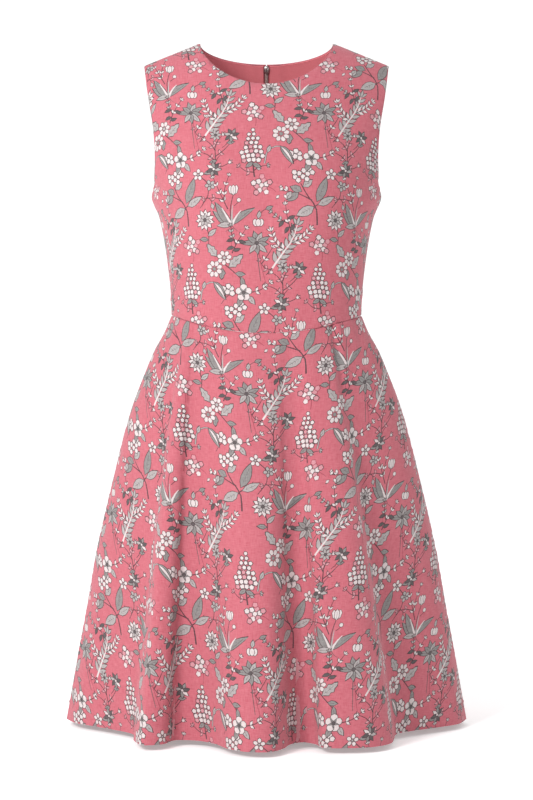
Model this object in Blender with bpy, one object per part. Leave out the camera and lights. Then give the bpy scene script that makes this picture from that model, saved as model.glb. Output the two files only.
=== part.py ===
"""Sleeveless A-line dress with a fitted bodice, a flared skirt that hangs in soft folds and a
centre-back zip, filled out as it is worn. Metres, +Z up, the front faces -Y. The origin is midway
between the two points where the shoulder seams meet the neckline."""

import bmesh
import bpy
import numpy as np
from mathutils import Matrix, Vector

# Cloth and the joins between its pieces.
WALL = 0.0012
SEAM_GAP = 0.0003

# Landmarks of the cut, as half-widths and heights.
NECK_HALF_WIDTH = 0.092
FRONT_NECK_DROP = 0.0637
BACK_NECK_DROP = 0.0215
FRONT_NECK_ROUNDNESS = 0.63
BACK_NECK_ROUNDNESS = 0.58
SHOULDER_TIP_X = 0.169
SHOULDER_TIP_Z = -0.031
UNDERARM_Z = -0.207
WAIST_HALF_WIDTH = 0.1315
WAIST_SIDE_Z = -0.375
WAIST_CENTRE_Z = -0.399
HEM_Z = -0.936

# Rounding of the body sections, and the roll of the cloth over the shoulder.
SECTION_POWER = 2.3
SHOULDER_ROLL = 0.19
BUST_X = 0.080
BUST_Z = -0.235
BUST_SPREAD_X = 0.040
BUST_SPREAD_Z = 0.045
BUST_FULLNESS = 0.010

# The bodice's side edge: the side seam up to the underarm, then the armhole up to the tip of
# the shoulder. The share is how much of the section's full depth is left at that edge, so it is
# what rounds the armhole in the side view.
BODICE_SIDES = (
    # z, edge_x, depth_share
    (-0.399, 0.1315, 0.00),
    (-0.375, 0.1315, 0.00),
    (-0.354, 0.1320, 0.00),
    (-0.302, 0.1370, 0.00),
    (-0.240, 0.1480, 0.00),
    (-0.207, 0.1580, 0.00),
    (-0.203, 0.1566, 0.15),
    (-0.196, 0.1550, 0.25),
    (-0.182, 0.1534, 0.35),
    (-0.160, 0.1526, 0.43),
    (-0.120, 0.1552, 0.48),
    (-0.079, 0.1620, 0.52),
    (-0.031, 0.1690, 0.54),
    (0.000, 0.1740, 0.54),
)

# Side outline of the skirt, from the waist to the hem.
SKIRT_WIDTHS = (
    # z, half_width
    (-0.936, 0.2790),
    (-0.834, 0.2607),
    (-0.760, 0.2467),
    (-0.714, 0.2390),
    (-0.641, 0.2227),
    (-0.589, 0.2100),
    (-0.537, 0.1970),
    (-0.496, 0.1845),
    (-0.456, 0.1690),
    (-0.422, 0.1546),
    (-0.398, 0.1412),
    (-0.375, 0.1315),
)

# How far the dress stands in front of and behind its side seams.
DEPTHS = (
    # z, front, back
    (-0.936, 0.235, 0.228),
    (-0.850, 0.216, 0.210),
    (-0.750, 0.192, 0.190),
    (-0.650, 0.170, 0.171),
    (-0.560, 0.149, 0.152),
    (-0.500, 0.132, 0.135),
    (-0.450, 0.116, 0.116),
    (-0.420, 0.106, 0.099),
    (-0.399, 0.100, 0.090),
    (-0.375, 0.101, 0.088),
    (-0.340, 0.107, 0.090),
    (-0.300, 0.118, 0.097),
    (-0.260, 0.129, 0.106),
    (-0.220, 0.132, 0.113),
    (-0.180, 0.128, 0.117),
    (-0.140, 0.118, 0.117),
    (-0.100, 0.107, 0.112),
    (-0.060, 0.097, 0.103),
    (-0.030, 0.090, 0.094),
    (0.000, 0.084, 0.086),
)

# Folds of the skirt front, from the left side seam to the right one: where each fold leaves
# the waist, where it meets the hem, how far forward the hem is there, and how late it drifts.
FRONT_FOLDS = (
    # waist_x, hem_x, hem_depth, lag
    (-0.1315, -0.279, 0.000, 1.0),
    (-0.1300, -0.262, 0.035, 1.0),
    (-0.1260, -0.234, 0.060, 1.1),
    (-0.1200, -0.212, 0.080, 1.2),
    (-0.1120, -0.179, 0.118, 1.3),
    (-0.1095, -0.174, 0.166, 1.3),
    (-0.1060, -0.160, 0.196, 1.4),
    (-0.1020, -0.137, 0.190, 1.4),
    (-0.0970, -0.119, 0.160, 1.4),
    (-0.0860, -0.093, 0.163, 1.4),
    (-0.0700, -0.067, 0.187, 1.0),
    (-0.0520, -0.048, 0.222, 1.0),
    (-0.0300, -0.022, 0.242, 1.0),
    (-0.0060, 0.004, 0.242, 1.0),
    (0.0120, 0.022, 0.218, 1.0),
    (0.0220, 0.033, 0.187, 1.2),
    (0.0340, 0.048, 0.175, 1.4),
    (0.0440, 0.063, 0.187, 1.5),
    (0.0520, 0.074, 0.213, 1.6),
    (0.0660, 0.104, 0.216, 1.6),
    (0.0800, 0.141, 0.206, 1.6),
    (0.0880, 0.163, 0.182, 1.6),
    (0.0910, 0.169, 0.150, 1.6),
    (0.0950, 0.175, 0.116, 1.5),
    (0.1060, 0.193, 0.097, 1.4),
    (0.1200, 0.234, 0.067, 1.2),
    (0.1290, 0.264, 0.041, 1.0),
    (0.1315, 0.279, 0.000, 1.0),
)
BACK_FOLDS = (
    # waist_x, hem_x, hem_depth, lag
    (-0.1315, -0.279, 0.000, 1.0),
    (-0.1300, -0.266, 0.034, 1.0),
    (-0.1250, -0.240, 0.062, 1.1),
    (-0.1190, -0.214, 0.092, 1.2),
    (-0.1120, -0.190, 0.142, 1.3),
    (-0.1040, -0.166, 0.180, 1.4),
    (-0.0930, -0.138, 0.188, 1.4),
    (-0.0820, -0.112, 0.170, 1.4),
    (-0.0700, -0.090, 0.150, 1.3),
    (-0.0550, -0.066, 0.160, 1.2),
    (-0.0380, -0.043, 0.198, 1.0),
    (-0.0160, -0.018, 0.222, 1.0),
    (0.0140, 0.016, 0.224, 1.0),
    (0.0350, 0.041, 0.204, 1.0),
    (0.0500, 0.062, 0.168, 1.2),
    (0.0640, 0.084, 0.152, 1.4),
    (0.0780, 0.109, 0.166, 1.5),
    (0.0900, 0.137, 0.194, 1.5),
    (0.1020, 0.167, 0.192, 1.4),
    (0.1120, 0.192, 0.160, 1.3),
    (0.1190, 0.215, 0.112, 1.2),
    (0.1250, 0.241, 0.074, 1.1),
    (0.1300, 0.266, 0.038, 1.0),
    (0.1315, 0.279, 0.000, 1.0),
)
FOLD_GROWTH = 1.0

# Mesh of the panels: where the armhole and the neckline meet the grid, and its rows and columns.
U_NECK = 7 / 13
V_UNDERARM = 0.46
BODICE_ROWS = (
    *(0, 0.09, 0.18, 0.28, 0.38, 0.46, 0.473, 0.495, 0.54),
    *(0.61, 0.69, 0.77, 0.84, 0.90, 0.945, 0.975, 0.992, 1),
)
SKIRT_ROWS = (0, 0.04, 0.08, 0.14, 0.21, 0.29, 0.38, 0.49, 0.60, 0.72, 0.86, 1)
BODICE_COLUMNS = 26
SKIRT_COLUMNS = 46

# Back facing and zip.
FACING_WALL = 0.0010
FACING_EDGE_X = 0.0043
FACING_U = 0.74
FACING_V = 0.83
TAPE_WALL = 0.0006
TAPE_IN_X = 0.0024
TAPE_OUT_X = 0.0140
FACING_RAISED_X = 0.0180
FACING_SETTLED_X = 0.0300
ZIP_SLIT = 0.0014
ZIP_BOTTOM_V = 0.21
COIL_HALF_WIDTH = 0.0018
COIL_DEPTH = 0.0018
SLIDER_DOWN = 0.0070
SLIDER_LENGTH = 0.0110
SLIDER_TOP_WIDTH = 0.0070
SLIDER_END_WIDTH = 0.0052
SLIDER_OUTER = -0.0028
SLIDER_INNER = -0.0050
NECK_PLATE = 0.0008
BRIDGE_WIDTH = 0.0013
BRIDGE_LENGTH = 0.0060
BRIDGE_TOP = 0.0034
BRIDGE_BEND = 0.0011
HINGE_HEIGHT = 0.0018
HINGE_HOLE = 0.0021
TAB_WIDTH = 0.0058
TAB_END_WIDTH = 0.0044
TAB_LENGTH = 0.0210
TAB_WALL = 0.0009
TAB_SLOT_WIDTH = 0.0022
TAB_SLOT_END = 0.0056
TAB_CLEARANCE = 0.0006
TAB_SHOULDER = 0.0066
JOINT_OVERLAP = 0.0004
HOLE_MARGIN = 0.0002
ALONG_STEP = 0.0040

# The slider's outline, from its mouth to its foot: shares of half its length and of its width.
SLIDER_MOUTH_SHARE = 0.62
SLIDER_WIDE_FROM = -0.55
SLIDER_WIDE_TO = -0.10
SLIDER_FOOT_FROM = 0.90
SLIDER_FOOT_SHARE = 0.80
SLIDER_NECK_SHARE = 0.50

COTTON = (0.72, 0.16, 0.21)
FACING_PINK = (0.50, 0.08, 0.12)
TAPE_PINK = (0.45, 0.12, 0.14)
COIL_GREY = (0.30, 0.20, 0.19)
SLIDER_GREY = (0.60, 0.58, 0.57)


def smooth(at, table, name, names):
    """Cubic curve through one column of a table, over its first column: the slope at each row
    is the mean of its two neighbouring slopes, each weighted by the other one's length."""
    rows = np.array(table)
    xs = rows[:, 0]
    ys = rows[:, names.index(name)]
    return hermite(at, xs, ys)


def hermite(at, xs, ys):
    """Cubic curve through (xs, ys), evaluated at the positions given."""
    length = np.diff(xs)
    steps = np.diff(ys) / length
    inner = (length[1:] * steps[:-1] + length[:-1] * steps[1:]) / (length[:-1] + length[1:])
    slopes = np.concatenate([steps[:1], inner, steps[-1:]])
    at = np.clip(at, xs[0], xs[-1])
    i = np.clip(np.searchsorted(xs, at, side="right") - 1, 0, len(length) - 1)
    h = length[i]
    t = (at - xs[i]) / h
    return (
        ys[i] * (1 + 2 * t) * (1 - t) ** 2
        + slopes[i] * h * t * (1 - t) ** 2
        + ys[i + 1] * t**2 * (3 - 2 * t)
        + slopes[i + 1] * h * t**2 * (t - 1)
    )


def waist_z(x):
    """Height of the waist seam, which dips towards the centre."""
    return WAIST_CENTRE_Z + (WAIST_SIDE_Z - WAIST_CENTRE_Z) * (x / WAIST_HALF_WIDTH) ** 2


def rounded(x, half_width):
    """Share of the full depth that a body section keeps at x: a rounded oval."""
    across = np.clip(np.abs(x) / half_width, 0, 1)
    return np.sqrt(1 - across**SECTION_POWER)


def section_width(z):
    """Half-width of the body section at z, wide enough to leave the edge its share of depth."""
    names = ("z", "edge_x", "depth_share")
    share = np.clip(smooth(z, BODICE_SIDES, "depth_share", names), 0, 1)
    return smooth(z, BODICE_SIDES, "edge_x", names) / (1 - share**2) ** (1 / SECTION_POWER)


def shoulder_z(x):
    """Height of the shoulder seam, carried on over the neck in an arc that levels out at x = 0."""
    slope = SHOULDER_TIP_Z / (SHOULDER_TIP_X - NECK_HALF_WIDTH)
    outside = np.abs(x) - NECK_HALF_WIDTH
    return slope * (outside + np.minimum(outside, 0) ** 2 / (2 * NECK_HALF_WIDTH))


def bodice_depth(x, z, back):
    """Distance of the bodice from the plane of its side seams: an oval body section, rolled
    over to nothing at the shoulder seam, with soft fullness at the bust in front."""
    column = "back" if back else "front"
    depth = smooth(z, DEPTHS, column, ("z", "front", "back")) * rounded(x, section_width(z))
    below = np.clip((shoulder_z(x) - z) / SHOULDER_ROLL, 0, 1)
    depth = depth * np.sqrt(1 - (1 - below) ** 2)
    if not back:
        beside = (np.abs(x) - BUST_X) / BUST_SPREAD_X
        above = (z - BUST_Z) / BUST_SPREAD_Z
        depth = depth + BUST_FULLNESS * np.exp(-(beside**2 + above**2) / 2)
    return depth


def bodice_edges(u, v, back):
    """The four edges of a bodice panel in x and z: the waist and the top along u from -1 to 1,
    and the side with its armhole along v from 0 to 1."""
    waist_x = WAIST_HALF_WIDTH * np.sin(np.pi / 2 * u)
    along_neck = np.clip(np.abs(u) / U_NECK, 0, 1)
    neck_x = np.sin(np.pi / 2 * along_neck)
    drop = BACK_NECK_DROP if back else FRONT_NECK_DROP
    roundness = BACK_NECK_ROUNDNESS if back else FRONT_NECK_ROUNDNESS
    neck_z = -drop * np.clip(1 - neck_x**2, 0, 1) ** roundness
    along_shoulder = np.clip((np.abs(u) - U_NECK) / (1 - U_NECK), 0, 1)
    top_x = NECK_HALF_WIDTH * neck_x + (SHOULDER_TIP_X - NECK_HALF_WIDTH) * along_shoulder
    top_z = neck_z + SHOULDER_TIP_Z * along_shoulder
    below = np.clip(v / V_UNDERARM, 0, 1)
    above = np.clip((v - V_UNDERARM) / (1 - V_UNDERARM), 0, 1)
    side_z = WAIST_SIDE_Z + (UNDERARM_Z - WAIST_SIDE_Z) * below
    side_z = side_z + (SHOULDER_TIP_Z - UNDERARM_Z) * above
    side_x = smooth(side_z, BODICE_SIDES, "edge_x", ("z", "edge_x", "depth_share"))
    return waist_x, np.sign(u) * top_x, top_z, side_x, side_z


def bodice_points(u, v, back):
    """A bodice panel as a sheet hung between its four edges: each point is the blend of the two
    edges across it and the two along it, less the blend of the corners (a Coons patch)."""
    waist_x, top_x, top_z, side_x, side_z = bodice_edges(u, v, back)
    x = (1 - v) * waist_x + v * top_x
    x = x + u * (side_x - (1 - v) * WAIST_HALF_WIDTH - v * SHOULDER_TIP_X)
    z = (1 - v) * waist_z(waist_x) + v * top_z
    z = z + side_z - (1 - v) * WAIST_SIDE_Z - v * SHOULDER_TIP_Z
    depth = bodice_depth(x, z, back)
    return np.stack([x, depth if back else -depth, z], axis=-1)


def skirt_points(s, v, back):
    """A skirt panel: s runs along its folds from the left side seam (0) to the right one (1),
    and v from the waist (0) to the hem (1). Each point drifts from its place at the waist to its
    place at the hem as the side outline widens. Its depth is the smooth bell at that height plus
    the fold's own, which grows down the skirt."""
    folds = np.array(BACK_FOLDS if back else FRONT_FOLDS)
    waist, hem, hem_depth, lag = folds.T
    run = np.concatenate([[0], np.cumsum(np.hypot(np.diff(hem), np.diff(hem_depth)))])
    run = run / run[-1]
    waist_x = hermite(s, run, waist)
    hem_x = hermite(s, run, hem)
    z = waist_z(waist_x) * (1 - v) + HEM_Z * v
    side_z = WAIST_SIDE_Z * (1 - v) + HEM_Z * v
    width = smooth(side_z, SKIRT_WIDTHS, "half_width", ("z", "half_width"))
    hem_width = SKIRT_WIDTHS[0][1]
    flare = (width - WAIST_HALF_WIDTH) / (hem_width - WAIST_HALF_WIDTH)
    flare = np.clip(flare, 0, 1) ** hermite(s, run, lag)
    x = waist_x + (hem_x - waist_x) * flare
    column = "back" if back else "front"
    bell = smooth(z, DEPTHS, column, ("z", "front", "back")) * rounded(x, width)
    hem_bell = smooth(HEM_Z, DEPTHS, column, ("z", "front", "back")) * rounded(hem_x, hem_width)
    depth = bell + (hermite(s, run, hem_depth) - hem_bell) * v**FOLD_GROWTH
    depth = np.maximum(depth, 0)
    return np.stack([x, depth if back else -depth, z], axis=-1)


def normals_of(points, back):
    """Unit normals of a grid of points, turned outwards."""
    across = np.gradient(points, axis=1)
    down = np.gradient(points, axis=0)
    normal = np.cross(across, down)
    normal = normal / np.linalg.norm(normal, axis=-1, keepdims=True)
    middle = normal[normal.shape[0] // 2, normal.shape[1] // 2, 1]
    return normal if (middle > 0) == back else -normal


def keep_side(points, back):
    """Holds a panel half a seam gap off the plane of the side and shoulder seams."""
    held = points.copy()
    half = SEAM_GAP / 2
    held[..., 1] = np.maximum(held[..., 1], half) if back else np.minimum(held[..., 1], -half)
    return held


def panel_walls(points, normals, back, level_rows):
    """Outer and inner face of a panel. Rows that end at the waist seam or the hem stay level."""
    inner = points - normals * WALL
    for row in level_rows:
        inner[row, :, 2] = points[row, :, 2]
    return keep_side(points, back), keep_side(inner, back)


def new_object(name, mesh, colour, roughness, metallic=0.0):
    """An object with its own Principled material."""
    material = bpy.data.materials.new(name)
    material.use_nodes = True
    shader = material.node_tree.nodes["Principled BSDF"]
    shader.inputs["Base Color"].default_value = (*colour, 1)
    shader.inputs["Roughness"].default_value = roughness
    shader.inputs["Metallic"].default_value = metallic
    mesh.materials.append(material)
    made = bpy.data.objects.new(name, mesh)
    bpy.context.scene.collection.objects.link(made)
    return made


def shell(name, outer, inner, colour, roughness=0.9):
    """A closed wall between two grids of points that match, its four edges closed by strips.
    Both faces are cut into triangles along the same diagonals, as is all that lies on them."""
    rows, columns = outer.shape[:2]
    count = rows * columns
    index = np.arange(count).reshape(rows, columns)
    a, b, c, d = index[:-1, :-1], index[:-1, 1:], index[1:, 1:], index[1:, :-1]
    front = np.stack([a, b, c, a, c, d], axis=-1).reshape(-1, 3)
    edge = np.concatenate([index[0, :-1], index[:-1, -1], index[-1, :0:-1], index[:0:-1, 0]])
    ahead = np.roll(edge, -1)
    rim = np.stack([edge, edge + count, ahead, ahead, edge + count, ahead + count], axis=-1)
    faces = np.concatenate([front, front[:, ::-1] + count, rim.reshape(-1, 3)])
    points = np.concatenate([outer.reshape(-1, 3), inner.reshape(-1, 3)])
    mesh = bpy.data.meshes.new(name)
    mesh.from_pydata(points.tolist(), [], faces.tolist())
    work = bmesh.new()
    work.from_mesh(mesh)
    if work.calc_volume(signed=True) < 0:
        bmesh.ops.reverse_faces(work, faces=work.faces)
    work.to_mesh(mesh)
    work.free()
    mesh.shade_smooth()
    return new_object(name, mesh, colour, roughness)


def on_rows(grid, x, rows):
    """Points where x is met along the given rows of a grid that runs outwards from the centre."""
    found = []
    for row in rows:
        line = grid[row]
        order = np.argsort(np.abs(line[:, 0]))
        at = np.abs(line[order, 0])
        found.append([np.interp(x, at, line[order, axis]) for axis in range(3)])
    return np.array(found)


def back_half(points, side, slit):
    """One half of a back grid, from the centre outwards, its first column half a slit off x = 0.
    The slit is one width, or a width for each row."""
    middle = points.shape[1] // 2
    half = points[:, middle:] if side > 0 else points[:, middle::-1]
    half = half.copy()
    half[:, 0, 0] = side * slit / 2
    return half


def add_panels():
    """The six cloth panels. Returns the back grids and their normals, for what lies on them."""
    u, v = np.meshgrid(np.linspace(-1, 1, BODICE_COLUMNS + 1), BODICE_ROWS)
    s, w = np.meshgrid(np.linspace(0, 1, SKIRT_COLUMNS + 1), SKIRT_ROWS)
    lift = np.zeros((1, 1, 3))
    lift[..., 2] = SEAM_GAP / 2
    grids = {}
    for back in (False, True):
        bodice = bodice_points(u, v, back)
        skirt = skirt_points(s, w, back)
        bodice[0] += lift[0]
        skirt[0] -= lift[0]
        grids[back] = {
            "bodice": (bodice, normals_of(bodice, back), (0,)),
            "skirt": (skirt, normals_of(skirt, back), (0, -1)),
        }
    for part, (points, normals, level) in grids[False].items():
        outer, inner = panel_walls(points, normals, False, level)
        shell(f"{part}_front", outer, inner, COTTON)
    below_zip = np.array(SKIRT_ROWS) > ZIP_BOTTOM_V
    slits = {"bodice": ZIP_SLIT, "skirt": np.where(below_zip, SEAM_GAP, ZIP_SLIT)}
    for part, (points, normals, level) in grids[True].items():
        outer, inner = panel_walls(points, normals, True, level)
        for side, word in ((-1, "left"), (1, "right")):
            outer_half = back_half(outer, side, slits[part])
            inner_half = back_half(inner, side, slits[part])
            shell(f"{part}_back_{word}", outer_half, inner_half, COTTON)
    return grids[True]


def add_facings(bodice, normals):
    """The two halves of the back neck facing: the panel's own points moved in, past the zip
    tape near the centre, from the neckline and shoulder seam down."""
    first = int(np.argmax(np.array(BODICE_ROWS) >= FACING_V))
    for side, word in ((-1, "left"), (1, "right")):
        points = back_half(bodice, side, 0)[first:]
        outward = back_half(normals, side, 0)[first:]
        last = int(np.argmax(np.linspace(0, 1, points.shape[1]) >= FACING_U))
        points = points[:, : last + 1]
        outward = outward[:, : last + 1]
        edge = on_rows(points, FACING_EDGE_X, range(len(points)))
        points[:, 0] = edge
        points[:, 0, 0] = side * FACING_EDGE_X
        settle = (FACING_SETTLED_X - np.abs(points[..., :1])) / (FACING_SETTLED_X - FACING_RAISED_X)
        over_tape = np.clip(settle, 0, 1)
        depth = WALL + SEAM_GAP + (TAPE_WALL + SEAM_GAP) * over_tape
        outward[:, 0, 0] = 0
        outer = keep_side(points - outward * depth, True)
        inner = keep_side(points - outward * (depth + FACING_WALL), True)
        shell(f"facing_back_{word}", outer, inner, FACING_PINK)


def centre_line(grid, normals, rows):
    """Points and outward directions down the centre back, on the given rows of a grid."""
    middle = grid.shape[1] // 2
    line = grid[rows, middle]
    outward = normals[rows, middle].copy()
    outward[:, 0] = 0
    return line, outward / np.linalg.norm(outward, axis=1, keepdims=True)


def add_zip(back):
    """The zip: two tapes and the closed coil along the centre back, the slider at the neck
    with its bridge outside the cloth, and the pull tab on the bridge."""
    bodice, bodice_normals, _ = back["bodice"]
    skirt, skirt_normals, _ = back["skirt"]
    up = list(range(len(BODICE_ROWS) - 1, -1, -1))
    down = [row for row, v in enumerate(SKIRT_ROWS) if v <= ZIP_BOTTOM_V]
    upper, upper_out = centre_line(bodice, bodice_normals, up)
    lower, lower_out = centre_line(skirt, skirt_normals, down)
    line = np.concatenate([upper, lower])
    outward = np.concatenate([upper_out, lower_out])
    for side, word in ((-1, "left"), (1, "right")):
        edges = []
        for x in (TAPE_IN_X, (TAPE_IN_X + TAPE_OUT_X) / 2, TAPE_OUT_X):
            upper_edge = on_rows(back_half(bodice, side, 0), x, up)
            lower_edge = on_rows(back_half(skirt, side, 0), x, down)
            edges.append(np.concatenate([upper_edge, lower_edge]))
            edges[-1][:, 0] = side * x
        points = np.stack(edges, axis=1)
        reach = outward[:, None, :]
        outer = points - reach * (WALL + SEAM_GAP)
        inner = points - reach * (WALL + SEAM_GAP + TAPE_WALL)
        shell(f"zip_tape_{word}", outer, inner, TAPE_PINK)
    run = np.concatenate([[0], np.cumsum(np.linalg.norm(np.diff(line, axis=0), axis=1))])
    place = np.array([np.interp(SLIDER_DOWN, run, line[:, axis]) for axis in range(3)])
    beyond = np.array([np.interp(SLIDER_DOWN + ALONG_STEP, run, line[:, axis]) for axis in range(3)])
    down_line = Vector(beyond - place).normalized()
    across = Vector((1, 0, 0))
    out_line = down_line.cross(across).normalized()
    if out_line.y < 0:
        out_line = -out_line
    frame = Matrix((across, down_line, out_line)).transposed().to_4x4()
    frame.translation = Vector(place)
    add_coil(line, outward, run)
    add_slider(frame)
    add_pull_tab(frame, line, run)


def add_coil(line, outward, run):
    """The closed coil, from just below the slider to the end of the zip."""
    start = SLIDER_DOWN + SLIDER_LENGTH / 2 + SEAM_GAP
    keep = run > start + ALONG_STEP
    at = np.concatenate([[start], run[keep]])
    points = np.stack([np.interp(at, run, line[:, axis]) for axis in range(3)], axis=1)
    reach = np.stack([np.interp(at, run, outward[:, axis]) for axis in range(3)], axis=1)
    grids = []
    for depth in (WALL + SEAM_GAP, WALL + SEAM_GAP + COIL_DEPTH):
        moved = points - reach * depth
        edges = []
        for side in (-1, 1):
            edge = moved.copy()
            edge[:, 0] = side * COIL_HALF_WIDTH
            edges.append(edge)
        grids.append(np.stack(edges, axis=1))
    shell("zip_coil", grids[0], grids[1], COIL_GREY, 0.6)


def prism(name, outline, low, high, frame, axes):
    """A closed prism: a flat outline in the frame's first two named axes, run along the third."""
    count = len(outline)
    points = []
    for level in (low, high):
        for a, b in outline:
            local = Vector((0, 0, 0))
            local[axes[0]] = a
            local[axes[1]] = b
            local[axes[2]] = level
            points.append(frame @ local)
    faces = [tuple(range(count)), tuple(range(count, 2 * count))]
    for i in range(count):
        j = (i + 1) % count
        faces.append((i, j, count + j, count + i))
    mesh = bpy.data.meshes.new(name)
    mesh.from_pydata([tuple(p) for p in points], [], faces)
    work = bmesh.new()
    work.from_mesh(mesh)
    bmesh.ops.recalc_face_normals(work, faces=work.faces)
    if work.calc_volume(signed=True) < 0:
        bmesh.ops.reverse_faces(work, faces=work.faces)
    work.to_mesh(mesh)
    work.free()
    return mesh


def combine(made, mesh, operation):
    """Adds a helper solid to an object, or cuts it out, with a Boolean modifier."""
    helper = bpy.data.objects.new(mesh.name, mesh)
    bpy.context.scene.collection.objects.link(helper)
    helper.hide_render = True
    helper.display_type = "WIRE"
    modifier = made.modifiers.new(mesh.name, "BOOLEAN")
    modifier.operation = operation
    modifier.object = helper


def rectangle(half_a, low_b, high_b):
    return ((-half_a, low_b), (half_a, low_b), (half_a, high_b), (-half_a, high_b))


def add_slider(frame):
    """The slider: a body inside the cloth, wider at its top, a thin neck through the slit and
    a bridge outside with a hole for the pull tab's bar."""
    half = SLIDER_LENGTH / 2
    top = SLIDER_TOP_WIDTH / 2
    end = SLIDER_END_WIDTH / 2
    mouth = top * SLIDER_MOUTH_SHARE
    foot = end * SLIDER_FOOT_SHARE
    outline = (
        (-mouth, -half),
        (mouth, -half),
        (top, half * SLIDER_WIDE_FROM),
        (top, half * SLIDER_WIDE_TO),
        (end, half * SLIDER_FOOT_FROM),
        (foot, half),
        (-foot, half),
        (-end, half * SLIDER_FOOT_FROM),
        (-top, half * SLIDER_WIDE_TO),
        (-top, half * SLIDER_WIDE_FROM),
    )
    body = prism("zip_slider", outline, SLIDER_INNER, SLIDER_OUTER, frame, (0, 1, 2))
    slider = new_object("zip_slider", body, SLIDER_GREY, 0.4, 0.6)
    neck = rectangle(NECK_PLATE / 2, -half * SLIDER_NECK_SHARE, half * SLIDER_NECK_SHARE)
    neck_top = HINGE_HEIGHT - HINGE_HOLE / 2 - HOLE_MARGIN
    neck_foot = SLIDER_OUTER - JOINT_OVERLAP
    neck_plate = prism("slider_neck", neck, neck_foot, neck_top, frame, (0, 1, 2))
    combine(slider, neck_plate, "UNION")
    reach = BRIDGE_LENGTH / 2
    arch = (
        (-reach, SEAM_GAP),
        (reach, SEAM_GAP),
        (reach, BRIDGE_TOP - BRIDGE_BEND),
        (reach - BRIDGE_BEND, BRIDGE_TOP),
        (BRIDGE_BEND - reach, BRIDGE_TOP),
        (-reach, BRIDGE_TOP - BRIDGE_BEND),
    )
    bridge = prism("slider_bridge", arch, -BRIDGE_WIDTH / 2, BRIDGE_WIDTH / 2, frame, (1, 2, 0))
    combine(slider, bridge, "UNION")
    low = HINGE_HEIGHT - HINGE_HOLE / 2
    hole = rectangle(HINGE_HOLE / 2, low, low + HINGE_HOLE)
    cutter = prism("slider_hole", hole, -BRIDGE_WIDTH, BRIDGE_WIDTH, frame, (1, 2, 0))
    combine(slider, cutter, "DIFFERENCE")


def add_pull_tab(frame, line, run):
    """The pull tab: a flat plate with a slot round the bridge and a bar through its hole. Its
    origin is on the hinge's axis, and it lies just clear of the cloth."""
    hinge = frame @ Vector((0, 0, HINGE_HEIGHT))
    out_line = frame.to_3x3() @ Vector((0, 0, 1))
    far = SLIDER_DOWN + TAB_LENGTH
    tip = Vector([np.interp(far, run, line[:, axis]) for axis in range(3)])
    tip = tip + out_line * (TAB_CLEARANCE + TAB_WALL / 2)
    along = (tip - hinge).normalized()
    across = Vector((1, 0, 0))
    off = along.cross(across).normalized()
    if off.y < 0:
        off = -off
    place = Matrix((across, along, off)).transposed().to_4x4()
    half = TAB_WIDTH / 2
    end = TAB_END_WIDTH / 2
    bar = TAB_WALL / 2
    round_end = [
        (end * np.sin(angle), TAB_LENGTH - end + end * np.cos(angle))
        for angle in np.linspace(np.pi / 2, -np.pi / 2, 9)
    ]
    outline = [(-half, -bar), (half, -bar), (half, TAB_SHOULDER), *round_end]
    outline.append((-half, TAB_SHOULDER))
    mesh = prism("zip_pull_tab", outline, -bar, bar, place, (0, 1, 2))
    tab = new_object("zip_pull_tab", mesh, SLIDER_GREY, 0.35, 0.6)
    slot = rectangle(TAB_SLOT_WIDTH / 2, bar, TAB_SLOT_END)
    cutter = prism("tab_slot", slot, -2 * bar, 2 * bar, place, (0, 1, 2))
    combine(tab, cutter, "DIFFERENCE")
    tab.location = hinge
    bpy.data.objects["tab_slot"].location = hinge


def main():
    for obj in list(bpy.data.objects):
        bpy.data.objects.remove(obj, do_unlink=True)
    back = add_panels()
    bodice, normals, _ = back["bodice"]
    add_facings(bodice, normals)
    add_zip(back)


main()
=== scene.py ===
"""A sleeveless a-line dress of printed cotton, filled out as it is worn: a fitted bodice, a
flared skirt in soft folds, a facing inside the back neck and a zip down the centre back."""

import math

import bmesh
import bpy
import numpy as np
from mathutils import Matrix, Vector, geometry


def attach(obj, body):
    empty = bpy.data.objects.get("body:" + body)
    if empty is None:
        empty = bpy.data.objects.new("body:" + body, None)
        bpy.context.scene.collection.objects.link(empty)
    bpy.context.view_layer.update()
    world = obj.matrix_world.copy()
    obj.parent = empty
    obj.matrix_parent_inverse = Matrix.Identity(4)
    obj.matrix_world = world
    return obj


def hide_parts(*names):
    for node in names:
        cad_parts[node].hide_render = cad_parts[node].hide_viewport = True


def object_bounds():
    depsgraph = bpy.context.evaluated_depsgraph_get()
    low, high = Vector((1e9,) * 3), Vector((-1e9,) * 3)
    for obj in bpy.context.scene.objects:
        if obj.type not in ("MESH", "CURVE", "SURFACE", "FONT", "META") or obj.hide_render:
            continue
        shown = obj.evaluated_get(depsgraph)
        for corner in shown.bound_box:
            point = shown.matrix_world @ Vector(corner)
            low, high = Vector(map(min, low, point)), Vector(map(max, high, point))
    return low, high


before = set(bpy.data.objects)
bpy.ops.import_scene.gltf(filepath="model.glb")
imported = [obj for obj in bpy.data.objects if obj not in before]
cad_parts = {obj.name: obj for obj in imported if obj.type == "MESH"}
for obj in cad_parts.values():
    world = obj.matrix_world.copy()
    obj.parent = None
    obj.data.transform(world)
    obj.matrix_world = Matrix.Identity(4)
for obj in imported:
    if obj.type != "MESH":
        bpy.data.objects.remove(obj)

cad_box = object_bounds()


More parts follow.
